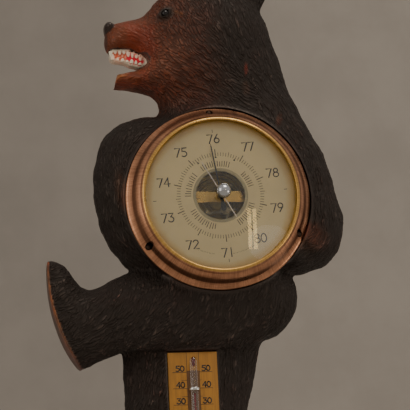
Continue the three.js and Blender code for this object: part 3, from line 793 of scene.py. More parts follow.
class Finish(Nodes):
    """A material and the nodes that feed its one shader."""

    def __init__(self, name, values):
        self.material = bpy.data.materials.new(name)
        self.material.use_nodes = True
        self.tree = self.material.node_tree
        self.shader = self.tree.nodes["Principled BSDF"]
        self.set(values)

    def set(self, values):
        for socket, value in values.items():
            self.give(self.shader.inputs[socket], value)

    def cells(self, size):
        """Object coordinates from the dial's axis, counted in cells of a size in millimetres."""
        place = self.node("ShaderNodeTexCoord").outputs["Object"]
        return self.node("ShaderNodeMapping", {
            "Vector": place, "Location": tuple(AXIS), "Scale": tuple(v * MM for v in size)},
            vector_type="TEXTURE").outputs[0]

    def radius(self):
        """Distance from the dial's axis in millimetres."""
        place = self.node("ShaderNodeSeparateXYZ", {0: self.cells((1, 1, 1))})
        return self.math("SQRT", self.math("ADD", self.math("POWER", place.outputs["X"], 2.0),
                                           self.math("POWER", place.outputs["Z"], 2.0)))

    def noise(self, vector, detail=3.0, roughness=0.55, distortion=0.0, scale=1.0):
        return self.node("ShaderNodeTexNoise", {
            "Vector": vector, "Scale": scale, "Detail": detail, "Roughness": roughness,
            "Distortion": distortion}).outputs["Fac"]

    def ramp(self, value, low, high, to_low=0.0, to_high=1.0):
        return self.node("ShaderNodeMapRange", {
            "Value": value, "From Min": low, "From Max": high, "To Min": to_low, "To Max": to_high},
            interpolation_type="SMOOTHSTEP").outputs[0]

    def mix(self, share, a, b, blend="MIX"):
        made = self.node("ShaderNodeMix", data_type="RGBA", blend_type=blend, clamp_factor=True)
        for socket, value in zip((made.inputs[0], made.inputs[6], made.inputs[7]), (share, a, b)):
            self.give(socket, value)
        return made.outputs[2]

    def attribute(self, name, output="Fac"):
        return self.node("ShaderNodeAttribute", attribute_name=name,
                         attribute_type="GEOMETRY").outputs[output]

    def bump(self, height, strength, depth, under=None):
        values = {"Height": height, "Strength": strength, "Distance": depth * MM}
        if under is not None:
            values["Normal"] = under
        return self.node("ShaderNodeBump", values).outputs[0]


def shade(colour_value, factor):
    return tuple(c * factor for c in colour_value)


DIRECTIONS = 12  # ways that the wood's finest strokes can run


def carved_wood(s):
    """Dark stained wood: knife strokes along the fur, ridges lighter where the stain is thin and as a
    painted highlight, stroke bottoms darkened as painted shade, polish on the paint.
    """
    f = Finish("stained carved wood", {"Specular IOR Level": 0.45, "Specular Tint": (1.0, 0.82, 0.70)})
    flow = f.node("ShaderNodeSeparateXYZ", {0: f.attribute("lie", "Vector")})
    twice = f.math("ARCTAN2", flow.outputs[1], flow.outputs[0])
    step = f.math("ROUND", f.math("MULTIPLY", twice, DIRECTIONS / (2 * math.pi)))
    along = f.node("ShaderNodeVectorRotate", {
        "Vector": f.cells((1, 1, 1)), "Angle": f.math("MULTIPLY", step, math.pi / DIRECTIONS)},
        rotation_type="Y_AXIS").outputs[0]
    waver = f.noise(f.cells((7, 7, 7)), 2.0, 0.5)
    sway = f.node("ShaderNodeCombineXYZ", {"X": f.math("MULTIPLY", step, 31.0), "Y": 0.0,
                                           "Z": f.math("MULTIPLY", waver, 3.0)}).outputs[0]
    bent = f.node("ShaderNodeVectorMath", {0: along, 1: sway}, operation="ADD").outputs[0]
    hair = (MM / s.hair_long, MM / s.hair_wide, MM / s.hair_wide)
    scaled = f.node("ShaderNodeVectorMath", {0: bent, 1: hair}, operation="MULTIPLY").outputs[0]
    hairs = f.node("ShaderNodeTexVoronoi", {"Vector": scaled, "Scale": 1.0, "Randomness": 0.75})
    stroke_height = f.ramp(hairs.outputs["Distance"], 0.68, 0.32)
    tone = f.node("ShaderNodeSeparateColor", {0: hairs.outputs["Color"]}).outputs[0]
    strokes = f.math("MULTIPLY", stroke_height, f.ramp(tone, 0.0, 1.0, 0.45, 1.0))
    carved = f.attribute("carved")
    gouge = f.attribute("gouge")
    ridge = f.math("MULTIPLY", f.math("SUBTRACT", 1.0, f.math("MULTIPLY", gouge, 0.8)), strokes)
    stain = f.attribute("stain", "Color")
    broad = f.noise(f.cells((16, 16, 16)), 4.0, 0.6)
    fine = f.noise(f.cells((1.4, 1.4, 1.4)), 4.0, 0.65)
    deep = f.math("MULTIPLY", carved, f.math("SUBTRACT", 1.0, ridge))
    # Painted shade: the bottoms of the strokes and gouges are darkened in the base colour.
    dark = f.mix(f.math("MULTIPLY", deep, 0.9), stain, (0.15, 0.13, 0.125), "MULTIPLY")
    # The ridges take that colour, partly as stain worn thin and partly as a painted highlight.
    thin = f.math("MULTIPLY", f.ramp(ridge, 0.35, 0.9), f.ramp(broad, 0.30, 0.70, 0.15, 1.0))
    worn = f.mix(f.math("MULTIPLY", f.math("MULTIPLY", thin, carved), 0.75), dark, tuple(s.fur_worn))
    patches = f.noise(f.cells((24, 24, 24)), 3.0, 0.6)
    worn = f.mix(f.ramp(patches, 0.45, 0.65), worn, (1.45, 0.90, 0.85), "MULTIPLY")
    grimy = f.mix(f.ramp(broad, 0.62, 0.30, 0.0, 0.55), worn, (0.50, 0.58, 0.62), "MULTIPLY")
    lighter = f.mix(1.0, stain, (2.0, 1.5, 1.2), "MULTIPLY")
    speckled = f.mix(f.ramp(fine, 0.52, 0.75, 0.0, 0.35), grimy, lighter)
    polish = f.attribute("polish")
    rough = f.math("ADD", f.math("MULTIPLY", polish, -0.25), f.ramp(fine, 0.3, 0.7, 0.36, 0.50))
    rough = f.math("ADD", rough, f.math("MULTIPLY", deep, 0.32))
    relief = f.bump(strokes, carved, 1.0)
    f.set({"Base Color": speckled, "Roughness": rough, "Normal": f.bump(fine, 0.10, 0.25, relief)})
    return f.material


def metal(name, base, rough, spread, brushed=False, metallic=1.0, lip=None):
    """Metal with a thin tarnish; a ring may be brushed across and have a lip painted in another tone as a
    painted reflection.
    """
    f = Finish(name, {"Metallic": metallic})
    cloud = f.noise(f.cells((9, 9, 9)), 5.0, 0.65)
    speck = f.noise(f.cells((0.9, 0.9, 0.9)), 3.0, 0.6)
    tint = f.mix(f.ramp(cloud, 0.35, 0.7), tuple(base), shade(base, 1 - spread))
    tint = f.mix(f.ramp(speck, 0.62, 0.8, 0.0, 0.5), tint, shade(base, 0.45))
    height = speck
    # The lip's tone inside a radius is a painted reflection.
    if lip:
        inner, tone = lip
        tint = f.mix(f.ramp(f.radius(), inner + 0.2, inner - 0.2), tint, tone)
    if brushed:
        flat = f.node("ShaderNodeVectorMath", {0: f.cells((1, 1, 1)), 1: (1.0, 0.0, 1.0)},
                      operation="MULTIPLY").outputs[0]
        around = f.node("ShaderNodeVectorMath", {0: flat}, operation="NORMALIZE").outputs[0]
        streak = f.noise(around, 3.0, 0.7, 0.0, 60.0)
        shadow = f.mix(1.0, tint, (0.5, 0.45, 0.42), "MULTIPLY")
        tint = f.mix(f.ramp(streak, 0.35, 0.7, 0.0, 0.7), tint, shadow)
        height = f.math("ADD", streak, f.math("MULTIPLY", speck, 0.3))
    f.set({"Base Color": tint, "Roughness": f.ramp(cloud, 0.3, 0.7, rough * 0.85, rough * 1.35),
           "Normal": f.bump(height, 0.12, 0.15)})
    return f.material


def clear_glass(name):
    """Polished glass, the same all over."""
    return Finish(name, {"Base Color": (1.0, 1.0, 1.0), "Roughness": 0.0, "Transmission Weight": 1.0,
                         "IOR": 1.46}).material


def printed(name, ink):
    """Ink that has faded unevenly."""
    f = Finish(name, {"Roughness": 0.6})
    patchy = f.noise(f.cells((1.2, 1.2, 1.2)), 3.0, 0.6)
    f.set({"Base Color": f.mix(f.ramp(patchy, 0.4, 0.75, 0.0, 0.35), tuple(ink), shade(ink, 2.6))})
    return f.material


def dial_finish(s):
    """Cream lacquer that has yellowed to gold towards its rim."""
    f = Finish("aged dial lacquer", {"Roughness": 0.38, "Coat Weight": 0.25, "Coat Roughness": 0.2})
    r = f.radius()
    cloud = f.noise(f.cells((16, 16, 16)), 5.0, 0.6)
    edge = f.ramp(f.math("ADD", r, f.math("MULTIPLY", cloud, 5.0)), 37.5, 42.5)
    speck = f.noise(f.cells((0.7, 0.7, 0.7)), 2.0, 0.6)
    base = f.mix(edge, tuple(s.cream), tuple(s.rim))
    base = f.mix(f.ramp(r, 14.9, 14.6, 0.0, 0.75), base, (0.17, 0.145, 0.06))
    base = f.mix(f.ramp(cloud, 0.4, 0.7, 0.0, 0.25), base, shade(s.cream, 0.75))
    base = f.mix(f.ramp(speck, 0.66, 0.8, 0.0, 0.35), base, shade(s.rim, 0.7))
    f.set({"Base Color": base, "Normal": f.bump(speck, 0.04, 0.1)})
    return f.material


def varnished_plate(s, strip_half):
    """Golden varnished wood with fine grain down it and a brown strip behind the tube."""
    low, high = box_of("thermometer_plate")
    f = Finish("golden varnished wood", {
        "Coat Weight": 0.15, "Coat Roughness": 0.25, "Specular IOR Level": 0.35})
    place = f.node("ShaderNodeSeparateXYZ", {0: f.cells((1, 1, 1))})
    off = f.math("ABSOLUTE", f.math("SUBTRACT", place.outputs["X"], (low[0] + high[0]) / 2))
    grain = f.noise(f.cells((1.1, 1.1, 22)), 5.0, 0.6, 0.6)
    cloud = f.noise(f.cells((9, 9, 14)), 4.0, 0.6)
    base = f.mix(f.ramp(grain, 0.35, 0.68), tuple(s.gold), shade(s.gold, 0.72))
    base = f.mix(f.ramp(cloud, 0.4, 0.7, 0.0, 0.4), base, shade(s.gold, 0.65))
    # Painted shade: the plate darkens towards its sides and its top edge, where it meets the recess and the
    # thigh above it.
    rim = f.math("MAXIMUM", f.ramp(off, 9.0, 13.2, 0.0, 0.35),
                 f.ramp(place.outputs["Z"], high[2] - 1.8, high[2], 0.0, 0.35))
    base = f.mix(rim, base, shade(s.gold, 0.5))
    edge = f.math("ADD", off, f.math("MULTIPLY", f.math("SUBTRACT", cloud, 0.5), 0.6))
    within = f.math("MULTIPLY", f.ramp(edge, strip_half + 0.15, strip_half - 0.15),
                    f.ramp(place.outputs["Z"], high[2] - 9.6, high[2] - 9.9))
    base = f.mix(f.math("MULTIPLY", within, 0.85), base, tuple(s.strip))
    outline = f.ramp(f.math("ABSOLUTE", f.math("SUBTRACT", edge, strip_half)), 0.3, 0.12, 0.0, 0.7)
    base = f.mix(outline, base, shade(s.strip, 0.6))
    f.set({"Base Color": base, "Roughness": f.ramp(grain, 0.3, 0.7, 0.34, 0.5),
           "Normal": f.bump(grain, 0.1, 0.15)})
    return f.material


# The carving


def ease(low, high, value):
    t = np.clip((value - low) / (high - low), 0, 1)
    return t * t * (3 - 2 * t)


def dab(x, z, centre, radii, tilt=0.0):
    """A soft round patch, 1 in its middle and 0 outside its radii."""
    t = math.radians(tilt)
    dx, dz = x - centre[0], z - centre[1]
    u, v = math.cos(t) * dx + math.sin(t) * dz, math.cos(t) * dz - math.sin(t) * dx
    return 1 - ease(0.25, 1.0, np.hypot(u / radii[0], v / radii[1]))


def blank(s):
    """The carving's smooth mesh: flat at the back, with its seats and holes cut by plain tools."""
    cell = s.cell / MM
    points, quads = skin(form, (-98, -2.2 * cell, SOLE_Z - 3), (80, 46, 148), cell)
    mesh = to_mesh("bear_carving", points.tolist(), quads.tolist())
    bm = bmesh.new()
    bm.from_mesh(mesh)
    bpy.data.meshes.remove(mesh)
    bmesh.ops.bisect_plane(bm, geom=bm.verts[:] + bm.edges[:] + bm.faces[:], plane_co=(0, 0, 0),
                           plane_no=(0, 1, 0), clear_outer=True, dist=1e-7)
    rim = [e for e in bm.edges if e.is_boundary]
    bmesh.ops.triangle_fill(bm, edges=rim, use_beauty=False, use_dissolve=False, normal=(0, 1, 0))
    mesh = bmesh_to("bear_carving", bm)

    clear = 70  # in front of the whole carving
    seat = [(0, BORE["out"]), (BORE["r"], BORE["out"]), (BORE["r"], SEAT["out"]), (SEAT["r"], SEAT["out"]),
            (SEAT["r"], clear), (0, clear)]
    low, high = box_of("thermometer_plate")
    left, right, bottom, top = low[0] - GAP, high[0] + GAP, low[2] - GAP, high[2] + GAP
    recess = [(left, bottom), (right, bottom), (right, top), (left, top)]
    nail = (-AXIS.x / MM, -AXIS.z / MM - NAIL_HOLE["below"])
    tools = [turned("seat", seat, 120), plate_of("recess", recess, 60, 60 - (high[1] - GAP)),
             turned("nail", plug(NAIL_HOLE["r"], -2, NAIL_HOLE["deep"]), 24, nail)]
    for name in SCREWS:
        x, _, z = middle_of(name)
        tools.append(turned("screw hole", plug(1.4, 24, 40), 16, (x, z)))
    for tool in tools:
        mesh = cut_away(mesh, tool, "MANIFOLD")
    return mesh


def paint(x, o, z, s):
    """The stain, with painted light under the chin, the polish and how freely the fur is cut at points of
    the surface.
    """
    lips = MOUTH(x, o, z)
    upper = z > 81.0 + 0.03 * (x + 34)
    in_mouth = (lips < 0.25) & (x < -32.5) & (o > 4)
    gum = -BITE(x, o, z)
    scallop = 0.8 * np.abs(np.sin(math.pi * (x + 38.5) / TEETH["wide"] + 0.8 * np.sin(1.9 * x)))
    tooth = in_mouth & (gum > -0.5) & (gum < 0.45 + scallop) & (o < GUM_OUT[1] + 1)
    nose = (lump(x, o, z, **NOSE) < 0.45) & (x < -50.6)
    lip = (lips > 0.1) & (lips < 0.95) & upper & (x < -32.5)
    lower_lip = (lips > 0.15) & (lips < 0.9) & ~upper & (x < -32.5)
    seam = (x < -55.7) & (z > 86) & (z < 99.5)

    face = (1 - ease(-30, 12, x + 0.12 * (z - 90))) * ease(46, 62, z)
    tone = np.array(s.fur)[None] + (np.array(s.face) - np.array(s.fur))[None] * face[:, None]

    def lay(colour_value, share):
        tone[:] = tone + (np.array(colour_value)[None] - tone) * np.asarray(share)[:, None]

    sole = (np.abs(sole_distance(x, z)) < 0.9) & (x < -70) & (z > -92) & (z < -26)
    lay((0.060, 0.034, 0.024), sole * 0.9)
    rubbed = 0.5 + 0.5 * np.sin(0.55 * z + 0.4 * o) * np.sin(0.31 * z - 0.8 * o + 1)
    lay(s.bare, sole * ease(19, 24, o) * (0.1 + 0.5 * rubbed) * ease(-92, -60, z))
    lay(s.bare, 0.85 * dab(x, z, (-49.5, 73), (7, 3.4), 25))
    lay((0.55, 0.27, 0.09), 0.6 * dab(x, z, (-51.5, 72), (2.2, 4.5), -20))
    lay(s.bare, 0.35 * dab(x, z, (-44, 68.5), (9, 4)))
    lay((0.30, 0.085, 0.035), 0.75 * dab(x, z, (-31, 73), (15, 10), -15))
    lay((0.26, 0.080, 0.036), 0.55 * dab(x, z, (-20, 82), (13, 13)))
    # Painted light: red-brown that lightens the underside of the chin, which faces down into shade.
    lay((0.30, 0.08, 0.03), 0.7 * dab(x, z, (-45, 69), (10, 3.5)))
    lay(s.bare, 0.85 * dab(x, z, (-17.6, 105.0), (4.5, 1.3), -25) * (o > 20))
    lay((0.16, 0.045, 0.022), 0.6 * dab(x, z, (36, 44), (2.5, 6), -20) * (o > 20))
    lay(s.bare, 0.16 * dab(x, z, (49, -22), (14, 11)) * (o > 15))
    lay(s.bare, 0.14 * dab(x, z, (-52, 6), (5, 16), 8) * (o > 15))
    lay((0.26, 0.035, 0.018), 0.95 * dab(x, z, (18.9, 72.5), (1.3, 4.6), -3) * (o > 15))
    lay((0.085, 0.040, 0.022), 0.7 * dab(x, z, (18.3, 61.8), (3.0, 5.2)) * (o > 15))
    lay((0.10, 0.032, 0.018), 0.6 * dab(x, z, (22, 122), (7, 9), -8) * (o > 20))
    black = nose | lip | seam
    lay((0.012, 0.010, 0.010), black * np.where(seam & ~nose, 0.55, 0.95))
    lay((0.035, 0.014, 0.008), lower_lip * 0.7)
    for spread in (1.0, 0.7):
        ring = dab(x, z, (EYE["x"], EYE["z"]), (8.5 * spread, 6.5 * spread), 35)
        lay((0.008, 0.006, 0.005), ring * (o > 20))
    lay(s.red, in_mouth)
    front = in_mouth & (x < -45)
    patchy = 0.5 + 0.5 * np.sin(2.1 * x + 1.3 * z) * np.sin(1.7 * z - 0.9 * x)
    lay((0.46, 0.12, 0.04), front * 0.75)
    lay(s.ivory, front * 0.55 * ease(0.55, 0.8, patchy))
    lay((0.03, 0.008, 0.006), in_mouth & ((gum < -0.5) | (o > GUM_OUT[1] + 1)))
    lay(s.ivory, tooth * 0.95)
    lay((0.036, 0.020, 0.013), 1 - ease(0.3, 1.5, o))

    polish = np.where(nose | in_mouth, 1.0, 0.25 * face)
    carved = np.where(nose | in_mouth | lip | lower_lip, 0.0, 1.0) * np.where(sole, 0.12, 1.0)
    carved *= 1 - 0.62 * (1 - ease(-46, -22, x)) * ease(62, 80, z)
    carved *= 1 - 0.8 * dab(x, z, (EYE["x"], EYE["z"]), (8, 6), 35)
    carved *= ease(0.4, 2.2, o)
    low, high = box_of("thermometer_plate")
    recess = slab(x, o, z, (low[0], high[1], low[2]), (high[0], 50, high[2]))
    carved *= ease(0.4, 2.0, recess)
    r = np.hypot(x, z)
    carved *= np.where(o > SEAT["out"] - 3, ease(SEAT["r"] + 0.2, SEAT["r"] + 2.2, r), 1.0)
    carved *= np.where((r < SEAT["r"]), 0.0, 1.0)
    carved *= ease(SOLE_Z + 0.3, SOLE_Z + 2, z)
    return tone, polish, carved


def tooth_rows():
    """The small teeth along both edges of the gums, each with a rounded point."""
    rows = [([(-53.8, 86.6), (-45, 87.8), (-37.6, 83.0)], 8, 1.7, -1),
            ([(-52.8, 83.2), (-44.5, 81.7), (-37.8, 80.2)], 7, 1.4, 1)]
    meshes = []
    for (start, via, end), count, long, way in rows:
        for i in range(count):
            t = i / (count - 1)
            x, z = [(1 - t) ** 2 * start[k] + 2 * t * (1 - t) * via[k] + t * t * end[k] for k in (0, 1)]
            high = long * (1.8 if i == 0 else (1.25, 0.7, 1.0, 0.55, 1.35)[i % 5]) * (1 - 0.2 * t)
            half = TEETH["wide"] * (0.46, 0.36, 0.43, 0.38)[i % 4]
            root = -0.8 / high
            shape = ((-1, root), (1, root), (0.9, 0.4), (0.35, 1), (-0.2, 0.95), (-0.85, 0.35))
            outline = [(x + a * half, z + way * b * high) for a, b in shape]
            meshes.append(plate_of("tooth", outline, TEETH["out"], 2.0, 0.0, 0.3))
    return meshes


def carving_mesh(s):
    """The carving with its fur cut along its lie, and its paint kept as attributes."""
    mesh = blank(s)
    teeth_from = len(mesh.vertices)
    co = np.empty(teeth_from * 3)
    mesh.vertices.foreach_get("co", co)
    co = co.reshape(-1, 3)
    p = np.stack([(co[:, 0] - AXIS.x) / MM, -co[:, 1] / MM, (co[:, 2] - AXIS.z) / MM], 1)
    tone, polish, carved = paint(*p.T, s)
    normals = normals_of(form, p)
    across, up = lie(p[:, 0], p[:, 2])
    hair = np.stack([across, np.zeros(len(p)), up], 1)
    hair -= normals * dot(hair, normals)[:, None]
    hair /= np.maximum(np.linalg.norm(hair, axis=1, keepdims=True), 1e-6)
    locks, turn = gouges(p, normals, hair, s.lock_step / MM, s.lock_long / MM, s.lock_wide / MM, 4)
    cuts, _ = gouges(p, normals, hair, s.cut_step / MM, s.cut_long / MM, s.cut_wide / MM, 9)
    depth = carved * (locks * s.lock_deep / MM + cuts * s.cut_deep / MM)
    p = p - normals * depth[:, None]
    low, high = box_of("bear_carving")
    p = np.clip(p, (low[0], 0.0, low[2]), (high[0], low[1], high[2]))
    co = np.stack([p[:, 0] * MM + AXIS.x, -p[:, 1] * MM, p[:, 2] * MM + AXIS.z], 1)
    mesh.vertices.foreach_set("co", co.ravel())
    gouge = 0.45 * locks + 0.55 * cuts

    bm = bmesh.new()
    bm.from_mesh(mesh)
    for tooth in tooth_rows():
        bm.from_mesh(tooth)
        bpy.data.meshes.remove(tooth)
    bm.to_mesh(mesh)
    bm.free()
    extra = len(mesh.vertices) - teeth_from

    def keep(name, kind, field, values, teeth):
        layer = mesh.attributes.new(name, kind, "POINT")
        whole = np.concatenate([values, np.tile(np.atleast_2d(teeth), (extra, 1)).reshape(extra, -1)])
        layer.data.foreach_set(field, whole.astype(np.float32).ravel())

    one = np.ones((teeth_from, 1))
    keep("stain", "FLOAT_COLOR", "color", np.hstack([tone, one]), (*s.ivory, 1.0))
    keep("polish", "FLOAT", "value", polish[:, None], 1.0)
    keep("carved", "FLOAT", "value", carved[:, None], 0.0)
    keep("gouge", "FLOAT", "value", gouge[:, None], 0.0)
    angle = np.arctan2(up, across) + turn
    lay = np.stack([np.cos(2 * angle), np.sin(2 * angle), np.zeros(len(angle))], 1)
    keep("lie", "FLOAT_VECTOR", "vector", lay, (1.0, 0.0, 0.0))
    return mesh


class MakeCarving(bpy.types.Operator):
    """Carve the bear: form, fur, teeth and paint in one piece of wood"""
    bl_idname = "bear.carving"
    bl_label = "Carving"

    def execute(self, context):
        s = context.scene.bear
        add_piece("bear_carving_carved", carving_mesh(s), carved_wood(s), BODY,
                  ["bear_carving"], sharp=50)
        return {"FINISHED"}


class MakeEye(bpy.types.Operator):
    """Set the glass bead of the eye in its socket"""
    bl_idname = "bear.eye"
    bl_label = "Eye"

    def execute(self, context):
        low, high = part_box("eye_bead")
        bm = bmesh.new()
        bmesh.ops.create_uvsphere(bm, u_segments=40, v_segments=24, radius=(high.z - low.z) / 2)
        middle = (low + high) / 2
        for v in bm.verts:
            v.co = Vector((v.co.x, v.co.y * 0.94, v.co.z)) + middle
        f = Finish("black bead glass", {"Roughness": 0.1, "Specular IOR Level": 0.35, "IOR": 1.5})
        depth = f.noise(f.cells((2.5, 2.5, 2.5)), 2.0)
        f.set({"Base Color": f.mix(depth, (0.004, 0.004, 0.005), (0.012, 0.007, 0.005))})
        add_piece("eye_bead_glass", bmesh_to("eye_bead_glass", bm), f.material, BODY,
                  ["eye_bead"], sharp=0)
        return {"FINISHED"}


# The barometer


# The print on the dial: turns are in degrees clockwise from the top, and rings are radii
DIAL_TURN = -4.6
NUMBER_RING, TICK_RING, WORD_RING, QUARTER_RING, SMALL_RING = 31.0, 21.4, 15.7, 34.4, 31.6
WORDS = [(-30, 25), (50, 81), (109, 156), (195, 249), (272, 317)]
SMALL_WORDS = [(153, 178), (193, 212)]
POINTERS = (-28, 0, 28)
INDICATOR_TURN, SET_TURN = -9, -30


def round_about(angle, r):
    a = math.radians(angle)
    return r * math.sin(a), r * math.cos(a)


class MakeDial(bpy.types.Operator):
    """Make the dial plate and what is printed on it"""
    bl_idname = "bear.dial"
    bl_label = "Dial"

    def execute(self, context):
        s = context.scene.barometer
        out = DIAL_OUT
        profile = [(13.05, out - 0.8), (42, out - 0.8), (42, out - 0.1), (38, out - 0.12),
                   (15.2, out - 0.12), (14.4, out), (13.4, out), (13.05, out - 0.2)]
        add_piece("dial_plate", turned("dial_plate", rounded(profile, 0.1, 2), s.segments), dial_finish(s),
                  BODY, ["dial"])
        ink = printed("faded dial ink", s.ink)
        ring = ring_tree()
        face, thick = out - 0.11, 0.04
        turn = math.radians(DIAL_TURN)

        def marks(wide, high, radius, **sizes):
            chosen = {"Finish": ink, "Start": turn, "Radius": radius * MM, "Long every": 1, **sizes}
            return grown(ring, mark(wide, high, face, thick, 0.5), chosen)

        tenth = 2 * math.pi / 100
        meshes = [
            marks(0.27, 2.0, TICK_RING, Count=100, Step=tenth, **{"Long every": 5, "Long by": 1.3}),
            marks(0.45, 2.4, TICK_RING, Count=10, Step=tenth * 10, **{"Long by": 1.6}),
            marks(0.3, 1.7, QUARTER_RING, Count=4, Step=math.pi / 2),
        ]
        for i, (start, end) in enumerate(WORDS):
            count = int((end - start) / 4.2)
            meshes.append(marks(0.36, 3.6, WORD_RING, Count=count, Uneven=0.25, Seed=i + 3,
                                Start=turn + math.radians(start + 1.5),
                                Step=math.radians((end - start) / count)))
        for start, end in SMALL_WORDS:
            meshes.append(marks(0.16, 0.7, SMALL_RING, Count=int((end - start) / 1.3), Uneven=0.4,
                                Seed=20, Start=turn + math.radians(start), Step=math.radians(1.3)))
        for i in range(10):
            angle = DIAL_TURN + 36 * (i - 5)
            x, z = round_about(angle, NUMBER_RING)
            meshes += number(str(71 + i), x, z, 4.6, 0.6, DIAL_TURN, face + thick, thick, 0.62)
        for angle in POINTERS:
            tip = [(-0.62, 20.4), (0.62, 20.4), (0, 21.7)]
            meshes.append(plate_of("pointer", tip, face + thick, thick, angle + DIAL_TURN))
        add_piece("dial_print", joined("dial_print", meshes), ink, BODY, sharp=0)
        return {"FINISHED"}


class MakeWorks(bpy.types.Operator):
    """Make the works seen through the dial's hole: case, capsule, bridge, lever and chain drum"""
    bl_idname = "bear.works"
    bl_label = "Works"

    def execute(self, context):
        s = context.scene.barometer
        old_brass = metal("tarnished brass", shade(s.brass, 0.42), 0.42, 0.5, metallic=0.6)
        bright = metal("bridge brass", s.brass, 0.28, 0.25, metallic=0.8)
        for slot in bpy.data.objects["barometer_case"].material_slots:
            slot.material = old_brass
        low, high = box_of("pressure_capsule")
        top, rim = low[1], high[0]
        waves = [(r, top - 0.1 - 0.08 * r / 4 - 0.55 * (1 - math.cos(math.pi * r)) * (r > 5))
                 for r in np.arange(rim - 2.6, 4.9, -0.25)]
        profile = [(0, 11.8), (rim, 11.8), (rim, 27.4), (rim - 0.6, 28), (rim - 2.2, 28)] + waves
        profile += [(4.6, top - 0.2), (4.2, top), (0, top)]
        capsule = metal("capsule metal", (0.48, 0.32, 0.04), 0.55, 0.5, metallic=0.1)
        add_piece("pressure_capsule_corrugated", turned("capsule", profile, 96), capsule, BODY,
                  ["pressure_capsule"])

        low, high = box_of("movement_bridge")
        half, tall, front, foot = high[0], high[2], low[1], high[1]
        edge = [(-half, tall), (-half * 0.62, tall), (-3.4, tall * 0.86), (0, tall), (3.4, tall * 0.86),
                (half * 0.62, tall), (half, tall)]
        waist = [(x, -z) for x, z in edge] + edge[::-1]
        meshes = [plate_of("bridge", waist, front - 0.5, 0.9, 0, 0.12)]
        for side in (-1, 1):
            meshes.append(plate_of("leg", [(side * half, -tall), (side * (half - 1.2), -tall),
                                           (side * (half - 1.2), tall), (side * half, tall)],
                                   front - 1.2, front - 1.2 - foot, 0, 0.1))
            rivet = [(0, front - 1.6), (1.05, front - 1.6), (1.05, front - 0.4), (0.8, front - 0.05),
                     (0.35, front), (0, front)]
            meshes.append(turned("rivet", rivet, 28, (side * 11.8, 0)))
        boss = [(1.1, front - 1.6), (2.1, front - 1.6), (2.1, front - 0.35), (1.8, front - 0.1),
                (1.1, front - 0.1)]
        meshes.append(turned("boss", rounded(boss, 0.1, 2), 40))
        add_piece("movement_bridge_finished", joined("bridge", meshes), bright, BODY,
                  ["movement_bridge"])
        drum = [(0, 31.5), (2.4, 31.5), (2.4, 35.6), (1.3, 35.6), (1.3, 36.4), (0, 36.4)]
        levers = [plate_of("lever", [(-7, -9), (9.5, -6.5), (9.8, -5.4), (-6.6, -7.4)], 35.4, 0.7, 0, 0.1),
                  plate_of("arm", [(5.6, -11), (7, -11), (7.4, 3), (6.2, 3)], 34.2, 0.7, 12, 0.1),
                  turned("drum", rounded(drum, 0.15, 2), 40, (3.2, -6.4)),
                  turned("post", rounded(plug(1.1, 30.6, 37), 0.2, 2), 28, (-6.8, -7.6)),
                  turned("pin", rounded(plug(0.9, 30.6, 36), 0.2, 2), 28, (7.2, 7.2))]
        steel = metal("lever steel", (0.24, 0.19, 0.09), 0.35, 0.4, metallic=0.6)
        add_piece("movement_levers", joined("levers", levers), steel, BODY)
        return {"FINISHED"}


def hand_outline(half):
    return half + [(-a, b) for a, b in reversed(half) if a]


class MakeHands(bpy.types.Operator):
    """Make the dark indicator hand, and the set hand with its knob"""
    bl_idname = "bear.hands"
    bl_label = "Hands"

    def execute(self, context):
        s = context.scene.barometer
        dark = metal("blackened hand", (0.030, 0.026, 0.022), 0.38, 0.3, metallic=0.7)
        front = box_of("indicator_hand")[0][1]
        half = [(0, 28.5), (0.3, 26.5), (0.45, 4), (0.75, 2.6), (1.45, 1.2), (1.6, 0), (1.45, -1.2),
                (0.8, -2.4), (0.85, -3.4), (1.4, -6.8), (1.3, -8.2), (0.7, -8.9), (0, -8.95)]
        blade = plate_of("indicator", hand_outline(half), front, 0.36, INDICATOR_TURN, 0.08)
        spindle = turned("spindle", rounded(plug(0.58, 34.1, front - 0.1), 0.1, 2), 24)
        hub = turned("hub", rounded(plug(1.15, front - 1.3, front - 0.03), 0.15, 2), 32)
        add_piece("indicator_hand_dark", joined("indicator", [blade, spindle, hub]), dark, "indicator",
                  ["indicator_hand"])

        pale = metal("pale gilt hand", (0.62, 0.52, 0.40), 0.30, 0.2)
        front = box_of("set_hand")[0][1]
        half = [(0, 20.2), (0.24, 18.4), (0.28, 2.4), (0.9, 1.75), (1.55, 1.0), (1.75, 0), (1.55, -1.0),
                (0.9, -1.75), (0.28, -2.4), (0.28, -13.8), (0, -15.2)]
        blade = plate_of("set_hand_pale", hand_outline(half), front, 0.36, SET_TURN, 0.06)
        add_piece("set_hand_pale", blade, pale, "setting", ["set_hand"])

        bright = metal("bright nickel", (0.44, 0.44, 0.45), 0.12, 0.1)
        low, high = box_of("set_knob")
        r, front = high[2], low[1]
        middle = front - r
        ball = [(r * math.sin(a), middle + r * math.cos(a)) for a in np.radians(np.arange(0, 151, 7.5))]
        profile = ball + [(2.1, 50.45), (2.15, 50.05), (1.0, 49.95), (1.0, 46.1), (0, 46.1)]
        add_piece("set_knob_bright", turned("knob", profile, 64), bright, "setting",
                  ["set_knob"], sharp=40)
        return {"FINISHED"}


GLASS = {"r": 41.6, "edge": 46.1, "rise": 3.4, "thick": 1.5, "hole": 1.4}


